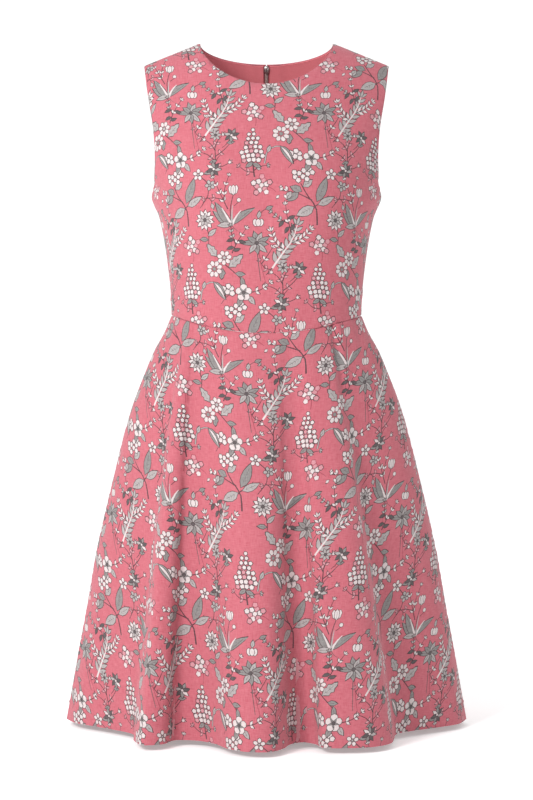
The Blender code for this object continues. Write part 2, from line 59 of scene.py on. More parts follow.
# The bodice front is one piece of printed cotton, shaped to the chest and sewn to its neighbours
# at the shoulders, the sides and the waist. Its neck and armhole edges are turned under.
CLOTH = 0.0012
SEAM = 0.0003
NECK_X = 0.092
FRONT_DROP = 0.0637
BACK_DROP = 0.0215
TIP_X = 0.169
TIP_Z = -0.031
UNDERARM_Z = -0.207
WAIST_X = 0.1315
WAIST_SIDE_Z = -0.375
WAIST_Z = -0.399
NECK_U = 7 / 13
UNDERARM_V = 0.46
FRONT_NECK_CURVE = 0.63
BACK_NECK_CURVE = 0.58
OVAL = 2.3
SHOULDER_ROLL = 0.19
BUST_X = 0.080
BUST_Z = -0.235
BUST_WIDE = 0.040
BUST_TALL = 0.045
BUST_RISE = 0.010
EDGE_REACH = 0.0026
EDGE_SINK = 0.0008
CROWDING = 0.93


def table(names, *rows):
    """A short table as a dictionary of its named columns."""
    return dict(zip(names.split(), np.array(rows).T))


SIDES = table(
    "z edge share",
    (-0.399, 0.1315, 0.00),
    (-0.375, 0.1315, 0.00),
    (-0.354, 0.1320, 0.00),
    (-0.302, 0.1370, 0.00),
    (-0.240, 0.1480, 0.00),
    (-0.207, 0.1580, 0.00),
    (-0.203, 0.1566, 0.15),
    (-0.196, 0.1550, 0.25),
    (-0.182, 0.1534, 0.35),
    (-0.160, 0.1526, 0.43),
    (-0.120, 0.1552, 0.48),
    (-0.079, 0.1620, 0.52),
    (-0.031, 0.1690, 0.54),
    (0.000, 0.1740, 0.54),
)
DEPTHS = table(
    "z front back",
    (-0.936, 0.235, 0.228),
    (-0.850, 0.216, 0.210),
    (-0.750, 0.192, 0.190),
    (-0.650, 0.170, 0.171),
    (-0.560, 0.149, 0.152),
    (-0.500, 0.132, 0.135),
    (-0.450, 0.116, 0.116),
    (-0.420, 0.106, 0.099),
    (-0.399, 0.100, 0.090),
    (-0.375, 0.101, 0.088),
    (-0.340, 0.107, 0.090),
    (-0.300, 0.118, 0.097),
    (-0.260, 0.129, 0.106),
    (-0.220, 0.132, 0.113),
    (-0.180, 0.128, 0.117),
    (-0.140, 0.118, 0.117),
    (-0.100, 0.107, 0.112),
    (-0.060, 0.097, 0.103),
    (-0.030, 0.090, 0.094),
    (0.000, 0.084, 0.086),
)


def through(at, xs, ys):
    """Cubic curve through the points (xs, ys): the slope at each point is the mean of the two
    slopes beside it, each weighted by the other one's length. Past its ends it holds its value."""
    length = np.diff(xs)
    steps = np.diff(ys) / length
    inner = (length[1:] * steps[:-1] + length[:-1] * steps[1:]) / (length[:-1] + length[1:])
    slopes = np.concatenate([steps[:1], inner, steps[-1:]])
    at = np.clip(at, xs[0], xs[-1])
    i = np.clip(np.searchsorted(xs, at, side="right") - 1, 0, len(length) - 1)
    h = length[i]
    t = (at - xs[i]) / h
    return (
        ys[i] * (1 + 2 * t) * (1 - t) ** 2
        + slopes[i] * h * t * (1 - t) ** 2
        + ys[i + 1] * t**2 * (3 - 2 * t)
        + slopes[i + 1] * h * t**2 * (t - 1)
    )


def waist_z(x):
    """Height of the waist seam: a parabola that dips to the centre."""
    return WAIST_Z + (WAIST_SIDE_Z - WAIST_Z) * (x / WAIST_X) ** 2


def shoulder_z(x):
    """Height of the shoulder seam: a straight slope outside the neck, carried on over the neck
    as a parabola that is level at the centre."""
    outside = np.abs(x) - NECK_X
    return TIP_Z / (TIP_X - NECK_X) * (outside + np.minimum(outside, 0) ** 2 / (2 * NECK_X))


def oval_share(x, half_width):
    """Share of its full depth that a body section keeps at x: the root of one less the OVAL-th
    power of x over the half-width."""
    return np.sqrt(1 - np.clip(np.abs(x) / half_width, 0, 1) ** OVAL)


def chest_width(z):
    """Half-width of the chest section at z, so wide that its edge keeps its share of the depth."""
    share = np.clip(through(z, SIDES["z"], SIDES["share"]), 0, 1)
    return through(z, SIDES["z"], SIDES["edge"]) / (1 - share**2) ** (1 / OVAL)


def bodice_depth(x, z, face):
    """Distance of the cloth from the side seams' plane: the depth at z times the oval, rolled
    to nothing over the shoulder as a quarter circle, with two low mounds for the bust in front."""
    depth = through(z, DEPTHS["z"], DEPTHS[face]) * oval_share(x, chest_width(z))
    below = np.clip((shoulder_z(x) - z) / SHOULDER_ROLL, 0, 1)
    depth = depth * np.sqrt(1 - (1 - below) ** 2)
    from_peak = ((np.abs(x) - BUST_X) / BUST_WIDE) ** 2 + ((z - BUST_Z) / BUST_TALL) ** 2
    return depth + BUST_RISE * np.exp(-from_peak / 2) * (face == "front")


def bodice_place(u, v, face):
    """A bodice panel hung between its waist (v = 0), its neck and shoulders (v = 1) and its two
    sides (u = -1 and 1): the blend of opposite edges, less the blend of the corners."""
    waist_x = WAIST_X * np.sin(np.pi / 2 * u)
    neck_x = np.sin(np.pi / 2 * np.clip(np.abs(u) / NECK_U, 0, 1))
    drop = FRONT_DROP if face == "front" else BACK_DROP
    curve = FRONT_NECK_CURVE if face == "front" else BACK_NECK_CURVE
    along = np.clip((np.abs(u) - NECK_U) / (1 - NECK_U), 0, 1)
    top_x = np.sign(u) * (NECK_X * neck_x + (TIP_X - NECK_X) * along)
    top_z = TIP_Z * along - drop * np.clip(1 - neck_x**2, 0, 1) ** curve
    below = np.clip(v / UNDERARM_V, 0, 1)
    above = np.clip((v - UNDERARM_V) / (1 - UNDERARM_V), 0, 1)
    side_z = WAIST_SIDE_Z + (UNDERARM_Z - WAIST_SIDE_Z) * below + (TIP_Z - UNDERARM_Z) * above
    side_x = through(side_z, SIDES["z"], SIDES["edge"])
    x = (1 - v) * waist_x + v * top_x + u * (side_x - (1 - v) * WAIST_X - v * TIP_X)
    z = (1 - v) * waist_z(waist_x) + v * top_z + side_z - (1 - v) * WAIST_SIDE_Z - v * TIP_Z
    depth = bodice_depth(x, z, face)
    return np.stack([x, -depth if face == "front" else depth, z], axis=-1)


def crowded(count, ends=(1, 1)):
    """Numbers from 0 to 1 that crowd together at the ends asked for, where the cloth turns over
    a seam: t less a share of a sine."""
    t = np.linspace(0, 1, count)
    if ends == (1, 1):
        return t - CROWDING * np.sin(2 * np.pi * t) / (2 * np.pi)
    return t + CROWDING * np.sin(np.pi * t) / np.pi * (1 if ends[1] else -1)


def outward(grid, face):
    """Unit normals of a grid of points whose rows climb and whose columns run to +X."""
    normal = np.cross(np.gradient(grid, axis=1), np.gradient(grid, axis=0))
    normal = normal / np.linalg.norm(normal, axis=-1, keepdims=True)
    return normal if face == "front" else -normal


def lengths(grid, axis):
    """Length run along each row (axis 1) or up each column (axis 0) of a grid of points."""
    steps = np.linalg.norm(np.diff(grid, axis=axis), axis=-1)
    return np.insert(np.cumsum(steps, axis=axis), 0, 0, axis=axis)


def soft_lines(x, z, rows):
    """Ridges (deep > 0) and troughs (deep < 0) of worn cloth: each is a Gaussian across a slim
    arc from (x0, z0) to (x1, z1) that widens along it, full at its start and fading as a cosine
    if it leaves a seam, or fading at both ends as a sine."""
    relief = np.zeros_like(x)
    for x0, z0, x1, z1, bow, wide, deep, seam in zip(*rows.values()):
        run = np.hypot(x1 - x0, z1 - z0)
        along = ((x - x0) * (x1 - x0) + (z - z0) * (z1 - z0)) / run**2
        aside = ((x - x0) * (z1 - z0) - (z - z0) * (x1 - x0)) / run
        held = np.clip(along, 0, 1)
        fade = np.cos(np.pi / 2 * held) if seam else np.sin(np.pi * held)
        aside = aside - bow * np.sin(np.pi * held)
        relief = relief + deep * fade * np.exp(-((aside / (wide * (0.6 + 0.8 * held))) ** 2))
    return relief


def worn(grid, face, rows, edges):
    """A panel's grid with its soft lines, and with its edges rolled in over the seams: within
    reach of an edge the cloth sinks with the square of how near it is. It stays on its own side
    of the side seams' plane."""
    grid = grid + outward(grid, face) * soft_lines(grid[..., 0], grid[..., 2], rows)[..., None]
    across = lengths(grid, 1)
    up = lengths(grid, 0)
    near = np.full(across.shape, 1.0)
    for edge, distance in (
        ("left", across),
        ("right", across[:, -1:] - across),
        ("bottom", up),
        ("top", up[-1:] - up),
    ):
        near = np.where(distance < near, distance, near) if edge in edges else near
    sunk = EDGE_SINK * np.clip(1 - near / EDGE_REACH, 0, 1) ** 2
    rolled = grid - outward(grid, face) * sunk[..., None]
    half = SEAM / 2
    y = rolled[..., 1]
    rolled[..., 1] = np.minimum(y, -half) if face == "front" else np.maximum(y, half)
    return rolled


# The print is a small-scale garden of flowers and leaves. Each motif is drawn in millimetres,
# every shape over the ones before it, in a few flat inks on the dyed cotton.
INKS = {
    "outline": (0.034, 0.009, 0.014),
    "dark": (0.060, 0.052, 0.054),
    "mid": (0.215, 0.215, 0.208),
    "light": (0.360, 0.350, 0.342),
    "white": (0.640, 0.600, 0.590),
    "stem": (0.070, 0.012, 0.022),
    "blush": (0.560, 0.250, 0.285),
    "rose": (0.300, 0.030, 0.060),
}
LINE = 0.72
STEM = 1.35
COTTON = (0.510, 0.108, 0.145)
COTTON_BACK = (0.53, 0.22, 0.25)


def turned(points, angle, at=(0, 0)):
    """Points turned about the origin by an angle in degrees and then moved."""
    a = np.radians(angle)
    return points @ np.array([[np.cos(a), np.sin(a)], [-np.sin(a), np.cos(a)]]) + at


def stroke(path, start, end, ink="stem", count=5):
    """A drawn line as one closed outline: the smooth curve through the path's points, with its
    width tapering straight from start to end."""
    path = np.array(path, float)
    run = np.concatenate([[0], np.cumsum(np.linalg.norm(np.diff(path, axis=0), axis=1))])
    at = np.linspace(0, run[-1], count)
    line = np.stack([through(at, run, path[:, 0]), through(at, run, path[:, 1])], axis=1)
    ahead = np.gradient(line, axis=0)
    ahead = ahead / np.linalg.norm(ahead, axis=1, keepdims=True)
    half = np.linspace(start, end, count)[:, None] * STEM / 2
    aside = np.stack([-ahead[:, 1], ahead[:, 0]], axis=1) * half
    return [(ink, np.concatenate([line + aside, (line - aside)[::-1]]))]


def oval(at, long, wide, angle, fill, line="outline", sides=7):
    """An outlined oval: a dark one, and the fill inside it."""
    t = np.arange(sides) * 2 * np.pi / sides
    ring = np.stack([np.cos(t), np.sin(t)], axis=1)
    half = np.array([long, wide]) / 2
    return [(line, turned(ring * (half + LINE), angle, at)), (fill, turned(ring * half, angle, at))]


def leaf(at, angle, long, wide, fill, bend=0.0, ribs=0, teeth=0, line="outline", rib="dark"):
    """An outlined leaf: its half-width is a sine over its length, fullest before the middle and
    toothed if asked, about an axis that bends aside with the square of the length. A midrib and
    pairs of slanting ribs are drawn over it."""
    steps = 2 * teeth + 1 if teeth else int(np.interp(long, (7, 9, 16, 26, 36), (2, 3, 4, 5, 6)))
    t = np.linspace(0, 1, steps + 1)
    half = wide / 2 * np.sin(np.pi * t**0.85) ** 0.9 * (1.15 if steps < 4 else 1)
    if teeth:
        half = half * (1 + 0.22 * (-1.0) ** np.arange(steps + 1))
    axis = np.stack([t * long, bend * long * t**2], axis=1)
    drawn = []
    for ink, more in ((line, LINE), (fill, 0.0)):
        reach = axis + np.stack([(t - 0.45) * 3 * more, 0 * t], axis=1)
        aside = np.stack([0 * t, half + more * (half > 0)], axis=1)
        outline = np.concatenate([reach + aside, (reach - aside)[-2:0:-1]])
        drawn.append((ink, turned(outline, angle, at)))
    tip = axis[int(steps * 0.85)]
    drawn.append((rib, turned(np.array([axis[0], tip + (0, 0.25), tip - (0, 0.25)]), angle, at)))
    for n in range(ribs):
        start = 0.22 + 0.5 * n / max(ribs, 1)
        foot = np.array([start * long, bend * long * start**2])
        for side in (-1, 1) if long > 20 else ((-1) ** n,):
            tip = foot + np.array([0.15 * long, side * 0.33 * wide])
            wedge = np.array([foot, foot + (0.6, 0), tip])
            drawn.append((rib, turned(wedge, angle, at)))
    return drawn


def petals(at, count, inner, outer, wide, fill, turn=0, line="outline"):
    """A ring of outlined petals, each a short leaf that points away from the centre."""
    drawn = []
    for n in range(count):
        angle = turn + 360 * n / count
        foot = turned(np.array([[inner, 0.0]]), angle, at)[0]
        for ink, points in leaf(foot, angle, outer - inner, wide, fill, line=line)[:2]:
            drawn.append((ink, points))
    return drawn


def round_petals(at, count, reach, wide, fill, turn=0):
    """A blossom of outlined oval petals round a small dark-ringed heart."""
    drawn = []
    for n in range(count):
        angle = turn + 360 * n / count
        place = turned(np.array([[reach, 0.0]]), angle, at)[0]
        drawn += oval(place, wide * 1.25, wide, angle, fill, sides=6)
    return drawn + oval(at, wide * 0.55, wide * 0.55, 0, "light", "dark", 5)


def floret(at, radius, turn=0, fill="white", line="outline"):
    """A tiny five-sided flower: an outline and its fill."""
    t = np.arange(5) * 2 * np.pi / 5
    ring = np.stack([np.cos(t), np.sin(t)], axis=1)
    return [
        (line, turned(ring * (radius + 1.2 * LINE), turn, at)),
        (fill, turned(ring * radius * 0.94, turn, at)),
    ]


def sprig(path, pairs, long, wide, fill, ink="stem", spread=48, start=0.25):
    """A twig with a bud on each side at even steps, smaller towards its tip."""
    path = np.array(path, float)
    drawn = stroke(path, 1.0, 0.5, ink)
    run = np.concatenate([[0], np.cumsum(np.linalg.norm(np.diff(path, axis=0), axis=1))])
    for n in range(pairs):
        share = start + (1 - start) * n / max(pairs - 1, 1)
        foot = np.array([through(share * run[-1], run, path[:, k]) for k in (0, 1)])
        back = np.array([through((share - 0.08) * run[-1], run, path[:, k]) for k in (0, 1)])
        lie = np.degrees(np.arctan2(*(foot - back)[::-1]))
        size = 1 - 0.35 * share
        for side in (-1, 1):
            drawn += leaf(foot, lie + side * spread, long * size, wide * size, fill)[:2]
    return drawn + leaf(path[-1], lie, long * 0.7, wide * 0.6, fill)[:2]


def tulip_plant():
    """A tulip on a slim stem over long fleshy leaves, with rootlets and a twig of buds."""
    base = (2, -26)
    drawn = []
    for angle, long, bend in ((225, 12, 0.2), (265, 15, 0), (315, 12, -0.2)):
        foot = np.array(base)
        end = turned(np.array([[long, 0.0]]), angle, foot)[0]
        mid = turned(np.array([[long * 0.5, bend * long * 0.4]]), angle, foot)[0]
        drawn += stroke([foot, mid, end], 0.7, 0.25, "dark", 3)
    drawn += stroke([base, (1, -48), (3, -62)], 0.6, 0.4, "rose", 5)
    drawn += sprig([(-3, -6), (-12, 12), (-22, 34)], 4, 7.0, 3.0, "white", spread=40)
    drawn += sprig([(-9, 6), (-22, 9), (-34, 8)], 2, 6.5, 2.9, "blush", start=0.45)
    drawn += sprig([(-8, 4), (-7, 20), (-2, 36)], 3, 6.2, 2.7, "white", spread=36)
    drawn += stroke([base, (0, -6), (4, 12)], 1.1, 0.7)
    drawn += leaf(base, 158, 30, 9, "mid", -0.28, 2)
    drawn += leaf(base, 138, 36, 9.5, "mid", -0.22, 2)
    drawn += leaf(base, 172, 19, 7, "light", 0.15, 1)
    drawn += leaf(base, 52, 34, 8.5, "mid", -0.32, 2)
    drawn += stroke([base, (-4, -16), (-11, -4)], 2.6, 0.6, "white", 4)
    drawn += stroke([base, (7, -16), (14, -8)], 2.6, 0.6, "white", 4)
    drawn += stroke([base, (2, -14), (3, -1)], 2.2, 0.5, "light", 4)
    for x, long, angle in ((1.2, 12, 105), (6.8, 12, 75), (4, 13, 90)):
        drawn += oval((x, 18), long, 6.2, angle, "white", sides=6)
    drawn += stroke([(4, 12.5), (4.2, 21)], 0.4, 0.3, "mid", 3)
    drawn += oval((11, 5), 5, 5, 0, "white")
    return drawn + stroke([(5, -2), (9, 1), (11, 3)], 0.7, 0.5, count=4)


def leafy_spray():
    """A maroon branch with large ribbed leaves, a berry twig and a head of florets."""
    drawn = stroke([(16, -34), (14, -12), (2, 4), (-6, 18)], 1.6, 0.8, count=7)
    drawn += stroke([(9, -3), (-12, 6), (-30, 8)], 1.2, 0.6)
    drawn += stroke([(13, -10), (24, -3), (31, 4)], 1.1, 0.6, count=5)
    drawn += stroke([(13, -12), (6, -14), (0, -18)], 1.0, 0.6, count=4)
    drawn += leaf((15, -4), 62, 34, 12, "mid", 0.08, 3)
    drawn += leaf((17, -8), 22, 24, 9, "light", 0.06, 2)
    drawn += leaf((11, -11), 212, 25, 12, "light", -0.08, 3)
    drawn += leaf((-5, 8), 152, 15, 8, "mid", 0.1, 2)
    drawn += leaf((-9, 6), 218, 17, 8.5, "mid", 0, 2)
    drawn += leaf((-3, 14), 36, 15, 7.5, "light", 0, 2)
    drawn += leaf((-18, 7), 236, 12, 6, "light", 0, 2)
    for x, y in ((-22, 9), (-25, 14), (-28, 10), (-31, 15), (-32, 8), (-27, 3), (-33, 2)):
        drawn += leaf((x, y), 100 + 9 * x + 30 * y, 5.5, 3.2, "white")[:2]
    head = [(-13, 26), (-8, 31), (-2, 35), (3, 31), (-3, 27)]
    head += [(-9, 22), (2, 24), (5, 37), (-14, 32), (9, 33)]
    for n, place in enumerate(head):
        drawn += floret(place, 3.5, 25 * n)
    return drawn


def lilac_cone():
    """A pointed head of many florets on a maroon stem with small leaves and twigs."""
    drawn = stroke([(3, -36), (1, -20), (0, 4)], 1.5, 0.7)
    drawn += sprig([(2, -28), (10, -23), (18, -22)], 2, 5.6, 2.8, "light")
    drawn += sprig([(2, -30), (-8, -28), (-15, -22)], 2, 5.6, 2.8, "blush")
    drawn += leaf((1, -18), 210, 10, 4.5, "mid")
    drawn += leaf((1, -19), -28, 11, 4.5, "mid")
    counts = (4, 5, 5, 4, 3, 3, 2, 1)
    for row, count in enumerate(counts):
        for n in range(count):
            x = (n - (count - 1) / 2) * 5.8 + (1.1 if row % 2 else -0.8)
            y = -14 + 5.6 * row - 0.35 * abs(n - (count - 1) / 2) ** 2
            fill = "white" if (n + row) % 4 else "blush"
            drawn += floret((x, y), 3.2 - 0.12 * row, 31 * n + 17 * row, fill)
    return drawn


def fern():
    """A pale feathery frond with lobes on both sides, forked near its tip."""
    drawn = []
    fronds = (
        (((-24, -26), (-10, -8), (4, 10), (10, 26)), 8, 15, 4.8, "light"),
        (((2, 4), (16, 10), (26, 20)), 5, 9, 3.4, "white"),
        (((-6, -6), (-18, 6), (-22, 20)), 5, 9, 3.4, "white"),
    )
    for path, pairs, long, wide, fill in fronds:
        drawn += sprig(path, pairs, long, wide, fill, "dark", 42, 0.12)
    path = fronds[0][0]
    drawn += stroke(path, 1.8, 0.8, "white", 6)
    drawn += stroke([(-24, -26), (-32, -34)], 1.2, 0.7, count=3)
    return drawn + sprig([(-26, -28), (-34, -24), (-38, -16)], 2, 5.5, 2.7, "blush")


def daisy_pair():
    """Two white blossoms side by side with toothed leaves on a slanting stem."""
    drawn = stroke([(-16, 20), (0, 2), (18, -14), (30, -26)], 1.3, 0.7, count=7)
    drawn += leaf((10, -6), 42, 23, 10, "light", 0, 2, 3)
    drawn += leaf((-6, 8), 128, 20, 9, "light", 0, 2, 3)
    drawn += leaf((2, -8), 262, 13, 7, "mid", 0, 1, 2)
    drawn += leaf((18, -14), 352, 12, 5, "mid")
    drawn += round_petals((4, 6), 7, 6.2, 5.2, "white", 8)
    drawn += oval((4, 6), 4.2, 4.2, 0, "light", "dark", 6)
    drawn += round_petals((-9, -8), 8, 7.2, 5.6, "white", 20)
    return drawn + oval((-9, -8), 4.6, 4.6, 0, "mid", "dark", 6)


def star_lily():
    """Pointed grey petals spread from a dark heart on two long slim stems."""
    drawn = stroke([(2, 8), (5, -14), (11, -38)], 0.8, 0.5, "rose", 6)
    drawn += stroke([(0, 8), (2, -12), (5, -36)], 0.8, 0.5, "dark", 6)
    for angle, long, wide, fill in (
        (98, 15, 6, "mid"),
        (60, 14, 5.5, "light"),
        (22, 17, 6, "mid"),
        (-12, 14, 5.5, "mid"),
        (-48, 17, 6, "light"),
        (-88, 14, 5.5, "mid"),
        (-128, 15, 5.5, "light"),
        (176, 19, 6, "mid"),
        (140, 13, 5.5, "mid"),
    ):
        drawn += leaf((0, 12), angle, long, wide, fill, 0.06)
    drawn += sprig([(6, -14), (13, -4), (19, 6)], 2, 6.0, 2.8, "white")
    return drawn + oval((0, 12), 4, 4, 0, "dark", "outline", 7)


def chrysanthemum():
    """A full flower of narrow white petals in two rings, nodding on a leafy stem."""
    drawn = stroke([(0, 0), (1, -14), (-3, -26)], 1.0, 0.6)
    drawn += leaf((0, -13), 18, 13, 5, "light", 0.1, 1)
    drawn += leaf((-1, -18), 160, 11, 4.5, "mid", 0, 1)
    drawn += petals((0, 6), 11, 2, 12, 4.2, "white", 6)
    drawn += petals((0, 6), 7, 1, 7.5, 3.2, "light", 18)
    return drawn + oval((0, 6), 3.6, 3.6, 0, "dark", "outline", 7)


def floret_cluster():
    """A round head of blush and white florets with a few rose buds."""
    drawn = stroke([(0, 0), (3, -12), (2, -20)], 0.9, 0.5, "rose", 5)
    places = [(0, 0)] + [(6.6 * np.cos(a), 6.2 * np.sin(a)) for a in np.radians(range(10, 370, 60))]
    places += [(11.5 * np.cos(a), 10.5 * np.sin(a)) for a in np.radians(range(30, 390, 72))]
    for n, place in enumerate(places):
        line = "rose" if n % 3 == 1 else "outline"
        drawn += floret(place, 3.6, 40 * n, ("white", "blush")[n % 2], line)
    return drawn


def twin_flowers():
    """Two small open flowers and a bud on one curved stem."""
    drawn = stroke([(-5, 14), (6, 4), (7, -8), (-4, -24)], 0.9, 0.6, count=9)
    drawn += stroke([(5, -12), (10, -15), (11, -20)], 0.8, 0.5, count=4)
    drawn += round_petals((-6, 15), 5, 4.4, 4.2, "white", 12)
    drawn += round_petals((9, 2), 5, 3.9, 3.8, "light", 40)
    return drawn + leaf((11, -19), 285, 7, 4, "light")[:2]


def arched_leaf():
    """A long leaf that arches over and droops, its far half paler."""
    drawn = stroke([(-20, -14), (-15, 4), (-2, 10), (6, 8)], 1.8, 1.4, "outline", 8)
    drawn += stroke([(-20, -14), (-15, 4), (-2, 10), (6, 8)], 1.0, 0.8, "light", 8)
    drawn += leaf((0, 10), -42, 28, 9.5, "mid", -0.24, 4)
    drawn += leaf((1, 9), -40, 24, 3.2, "white", -0.26)[:2]
    return drawn + leaf((-16, 1), 70, 10, 4.5, "light", 0, 1)


def pansy():
    """A broad five-petalled flower with florets, dark leaves and a reaching twig."""
    drawn = sprig([(8, 0), (22, 4), (32, 12)], 3, 6.5, 3.2, "white")
    drawn += stroke([(-8, 0), (-20, -4), (-28, -14)], 1.0, 0.5)
    drawn += leaf((-2, -4), 250, 14, 6, "mid", 0, 2)
    drawn += leaf((6, -4), 305, 13, 5.5, "light", 0, 2)
    drawn += leaf((0, 6), 100, 14, 5, "mid", 0, 1)
    for n, place in enumerate(((-15, 5), (-20, 1), (-19, 8), (-25, 5), (-14, -1))):
        drawn += floret(place, 3.6, 33 * n)
    broad = ((90, 6.4, 8.6), (162, 6.2, 8.0), (18, 6.2, 8.0), (-60, 6.0, 8.6), (-120, 6.0, 8.6))
    for angle, reach, size in broad:
        place = turned(np.array([[reach, 0.0]]), angle)[0]
        drawn += oval(place, size, size * 1.05, angle, "white", sides=7)
    drawn += petals((0, 0), 5, 0, 6.0, 1.8, "mid", 54, "dark")
    return drawn + oval((0, 0), 3.6, 3.6, 0, "dark", "outline", 7)


def berry_bush():
    """A dark branching twig with small berries, florets and narrow leaves."""
    drawn = stroke([(4, -34), (3, -14), (0, 4)], 1.5, 0.8)
    for path in (
        ((3, -14), (-10, -6), (-20, -4)),
        ((2, -8), (12, 2), (20, 14)),
        ((1, 0), (-8, 10), (-16, 14)),
        ((0, 4), (2, 14), (8, 24)),
        ((3, -22), (14, -20), (22, -14)),
    ):
        drawn += sprig(path, 2, 6.0, 3.0, "blush", "outline", 55)
        drawn += oval(path[-1], 3.8, 3.8, 0, "white", sides=6)
    drawn += petals((-2, 22), 7, 1, 8, 3.2, "light", 10)
    drawn += oval((-2, 22), 3, 3, 0, "dark", "outline", 6)
    return drawn + leaf((2, -28), 200, 13, 5, "mid", 0, 2)


def budding_twig():
    """A dark forked twig of pale buds with a few slim dark leaves."""
    drawn = sprig([(-2, -20), (0, -4), (5, 14)], 3, 6.2, 3.0, "white", spread=42, start=0.4)
    drawn += sprig([(-1, -8), (-9, 2), (-14, 12)], 3, 5.6, 2.8, "light", spread=42, start=0.4)
    for at, angle in (((-2, -16), 20), ((-2, -12), 205), ((1, -2), -12), ((-5, -3), 200)):
        drawn += leaf(at, angle, 9, 3.4, "dark", 0.1)[:2]
    return drawn


def dark_star():
    """A small flower of dark pointed petals with a pale one or two, over a short stem."""
    drawn = stroke([(0, 0), (1, -9), (-2, -18)], 1.0, 0.5, count=4)
    drawn += leaf((0, -9), 24, 9, 3.6, "mid", 0.1)
    for n, fill in enumerate(("mid", "dark", "light", "dark", "mid", "white", "dark")):
        drawn += leaf((0, 2), 90 + 360 * n / 7, 9.5, 3.6, fill)[:2]
    return drawn + oval((0, 2), 3, 3, 0, "white", "outline", 6)


def bud_and_leaf():
    """A small round bud between two leaves."""
    drawn = stroke([(0, 4), (4, 10), (9, 13)], 0.8, 0.5, count=4)
    drawn += leaf((0, 2), 78, 9, 4, "light")
    for x, angle in ((-3.4, 100), (3.4, 80), (0, 90)):
        drawn += oval((x, -3), 9, 6, angle, "white")
    return drawn + leaf((9, 13), 20, 9, 4, "mid")


# The repeat is one drop of the layout, in metres, and every other row of repeats is moved half
# its width aside.
SCALE = 1.1
REPEAT = (0.165 * SCALE, 0.168 * SCALE)
LAYOUT = (
    # motif, x, y, turn, size
    (leafy_spray, 38, 120, 0, 0.96),
    (tulip_plant, 112, 112, 0, 0.96),
    (twin_flowers, 77, 134, 0, 1.05),
    (chrysanthemum, 80, 88, 12, 1.05),
    (fern, 20, 60, 4, 1.0),
    (floret_cluster, 58, 62, 0, 1.0),
    (star_lily, 144, 52, 0, 1.0),
    (daisy_pair, 100, 40, 0, 1.0),
    (lilac_cone, 56, 12, 0, 1.0),
    (berry_bush, 10, 12, -8, 0.95),
    (pansy, 128, 2, 0, 1.0),
    (arched_leaf, 90, 6, 0, 0.95),
    (bud_and_leaf, 146, 92, 0, 1.0),
    (floret_cluster, 150, 134, 60, 0.95),
    (budding_twig, 15, 96, 24, 1.0),
    (budding_twig, 122, 70, -18, 1.0),
    (dark_star, 30, 30, -30, 1.0),
    (dark_star, 92, 158, 160, 1.0),
)


def bilinear(grid, places):
    """Value of a grid at fractional (row, column) places, straight between its nodes."""
    rows, columns = grid.shape[:2]
    r0 = np.clip(places[:, 0].astype(int), 0, rows - 2)
    c0 = np.clip(places[:, 1].astype(int), 0, columns - 2)
    r = places[:, :1] - r0[:, None]
    c = places[:, 1:] - c0[:, None]
    low = grid[r0, c0] * (1 - c) + grid[r0, c0 + 1] * c
    high = grid[r0 + 1, c0] * (1 - c) + grid[r0 + 1, c0 + 1] * c
    return low * (1 - r) + high * r


NEWTON_STEPS = 14
LONGEST_STEP = 6
MISSED = 1e-5
GUESSES = 41
COARSE = 3


def newton(flat, spots, places):
    """Places moved towards where the bilinear flat map reaches the spots, by Newton steps."""
    rows, columns = flat.shape[:2]
    for _ in range(NEWTON_STEPS):
        miss = spots - bilinear(flat, places)
        r0 = np.clip(places[:, 0].astype(int), 0, rows - 2)
        c0 = np.clip(places[:, 1].astype(int), 0, columns - 2)
        by_row = flat[r0 + 1, c0] - flat[r0, c0]
        by_column = flat[r0, c0 + 1] - flat[r0, c0]
        turn = by_row[:, 0] * by_column[:, 1] - by_row[:, 1] * by_column[:, 0]
        step_r = (miss[:, 0] * by_column[:, 1] - miss[:, 1] * by_column[:, 0]) / turn
        step_c = (miss[:, 1] * by_row[:, 0] - miss[:, 0] * by_row[:, 1]) / turn
        step = np.clip(np.stack([step_r, step_c], axis=1), -LONGEST_STEP, LONGEST_STEP)
        places = np.clip(places + step, 0, (rows - 1, columns - 1))
    return places


def places_of(flat, spots):
    """Fractional (row, column) at which a flat map reaches each spot: from a first guess by the
    middle column's heights and that row's widths, and for the spots that it loses, from the
    nearest node of a coarse copy of the map."""
    rows, columns = flat.shape[:2]
    r = np.interp(spots[:, 1], flat[:, columns // 2, 1], np.arange(rows))
    marks = np.linspace(0, columns - 1, GUESSES).astype(int)
    reach = flat[np.rint(r).astype(int)[:, None], marks, 0]
    k = np.clip((reach < spots[:, :1]).sum(axis=1) - 1, 0, len(marks) - 2)
    n = np.arange(len(spots))
    share = (spots[:, 0] - reach[n, k]) / (reach[n, k + 1] - reach[n, k])
    c = marks[k] + np.clip(share, 0, 1) * (marks[k + 1] - marks[k])
    places = newton(flat, spots, np.stack([r, c], axis=1))
    lost = np.hypot(*(spots - bilinear(flat, places)).T) > MISSED
    coarse = flat[::COARSE, ::COARSE]
    gaps = np.linalg.norm(spots[lost][:, None] - coarse.reshape(-1, 2), axis=-1)
    near = np.stack(np.divmod(gaps.argmin(axis=1), coarse.shape[1]), axis=1) * float(COARSE)
    places[lost] = newton(flat, spots[lost], near)
    return places


TILE = 0.008
WELD = 1e-3


def cut(points, edges, outlines):
    """Triangles between points that keep the given edges and outlines whole, worked out in
    millimetres: the points, the faces, the outlines that hold each face, and the points given
    that went into each point."""
    found = geometry.delaunay_2d_cdt((points * 1000).tolist(), edges, outlines, 0, WELD, True)
    return np.array([tuple(v) for v in found[0]]) / 1000, found[2], found[5], found[3]


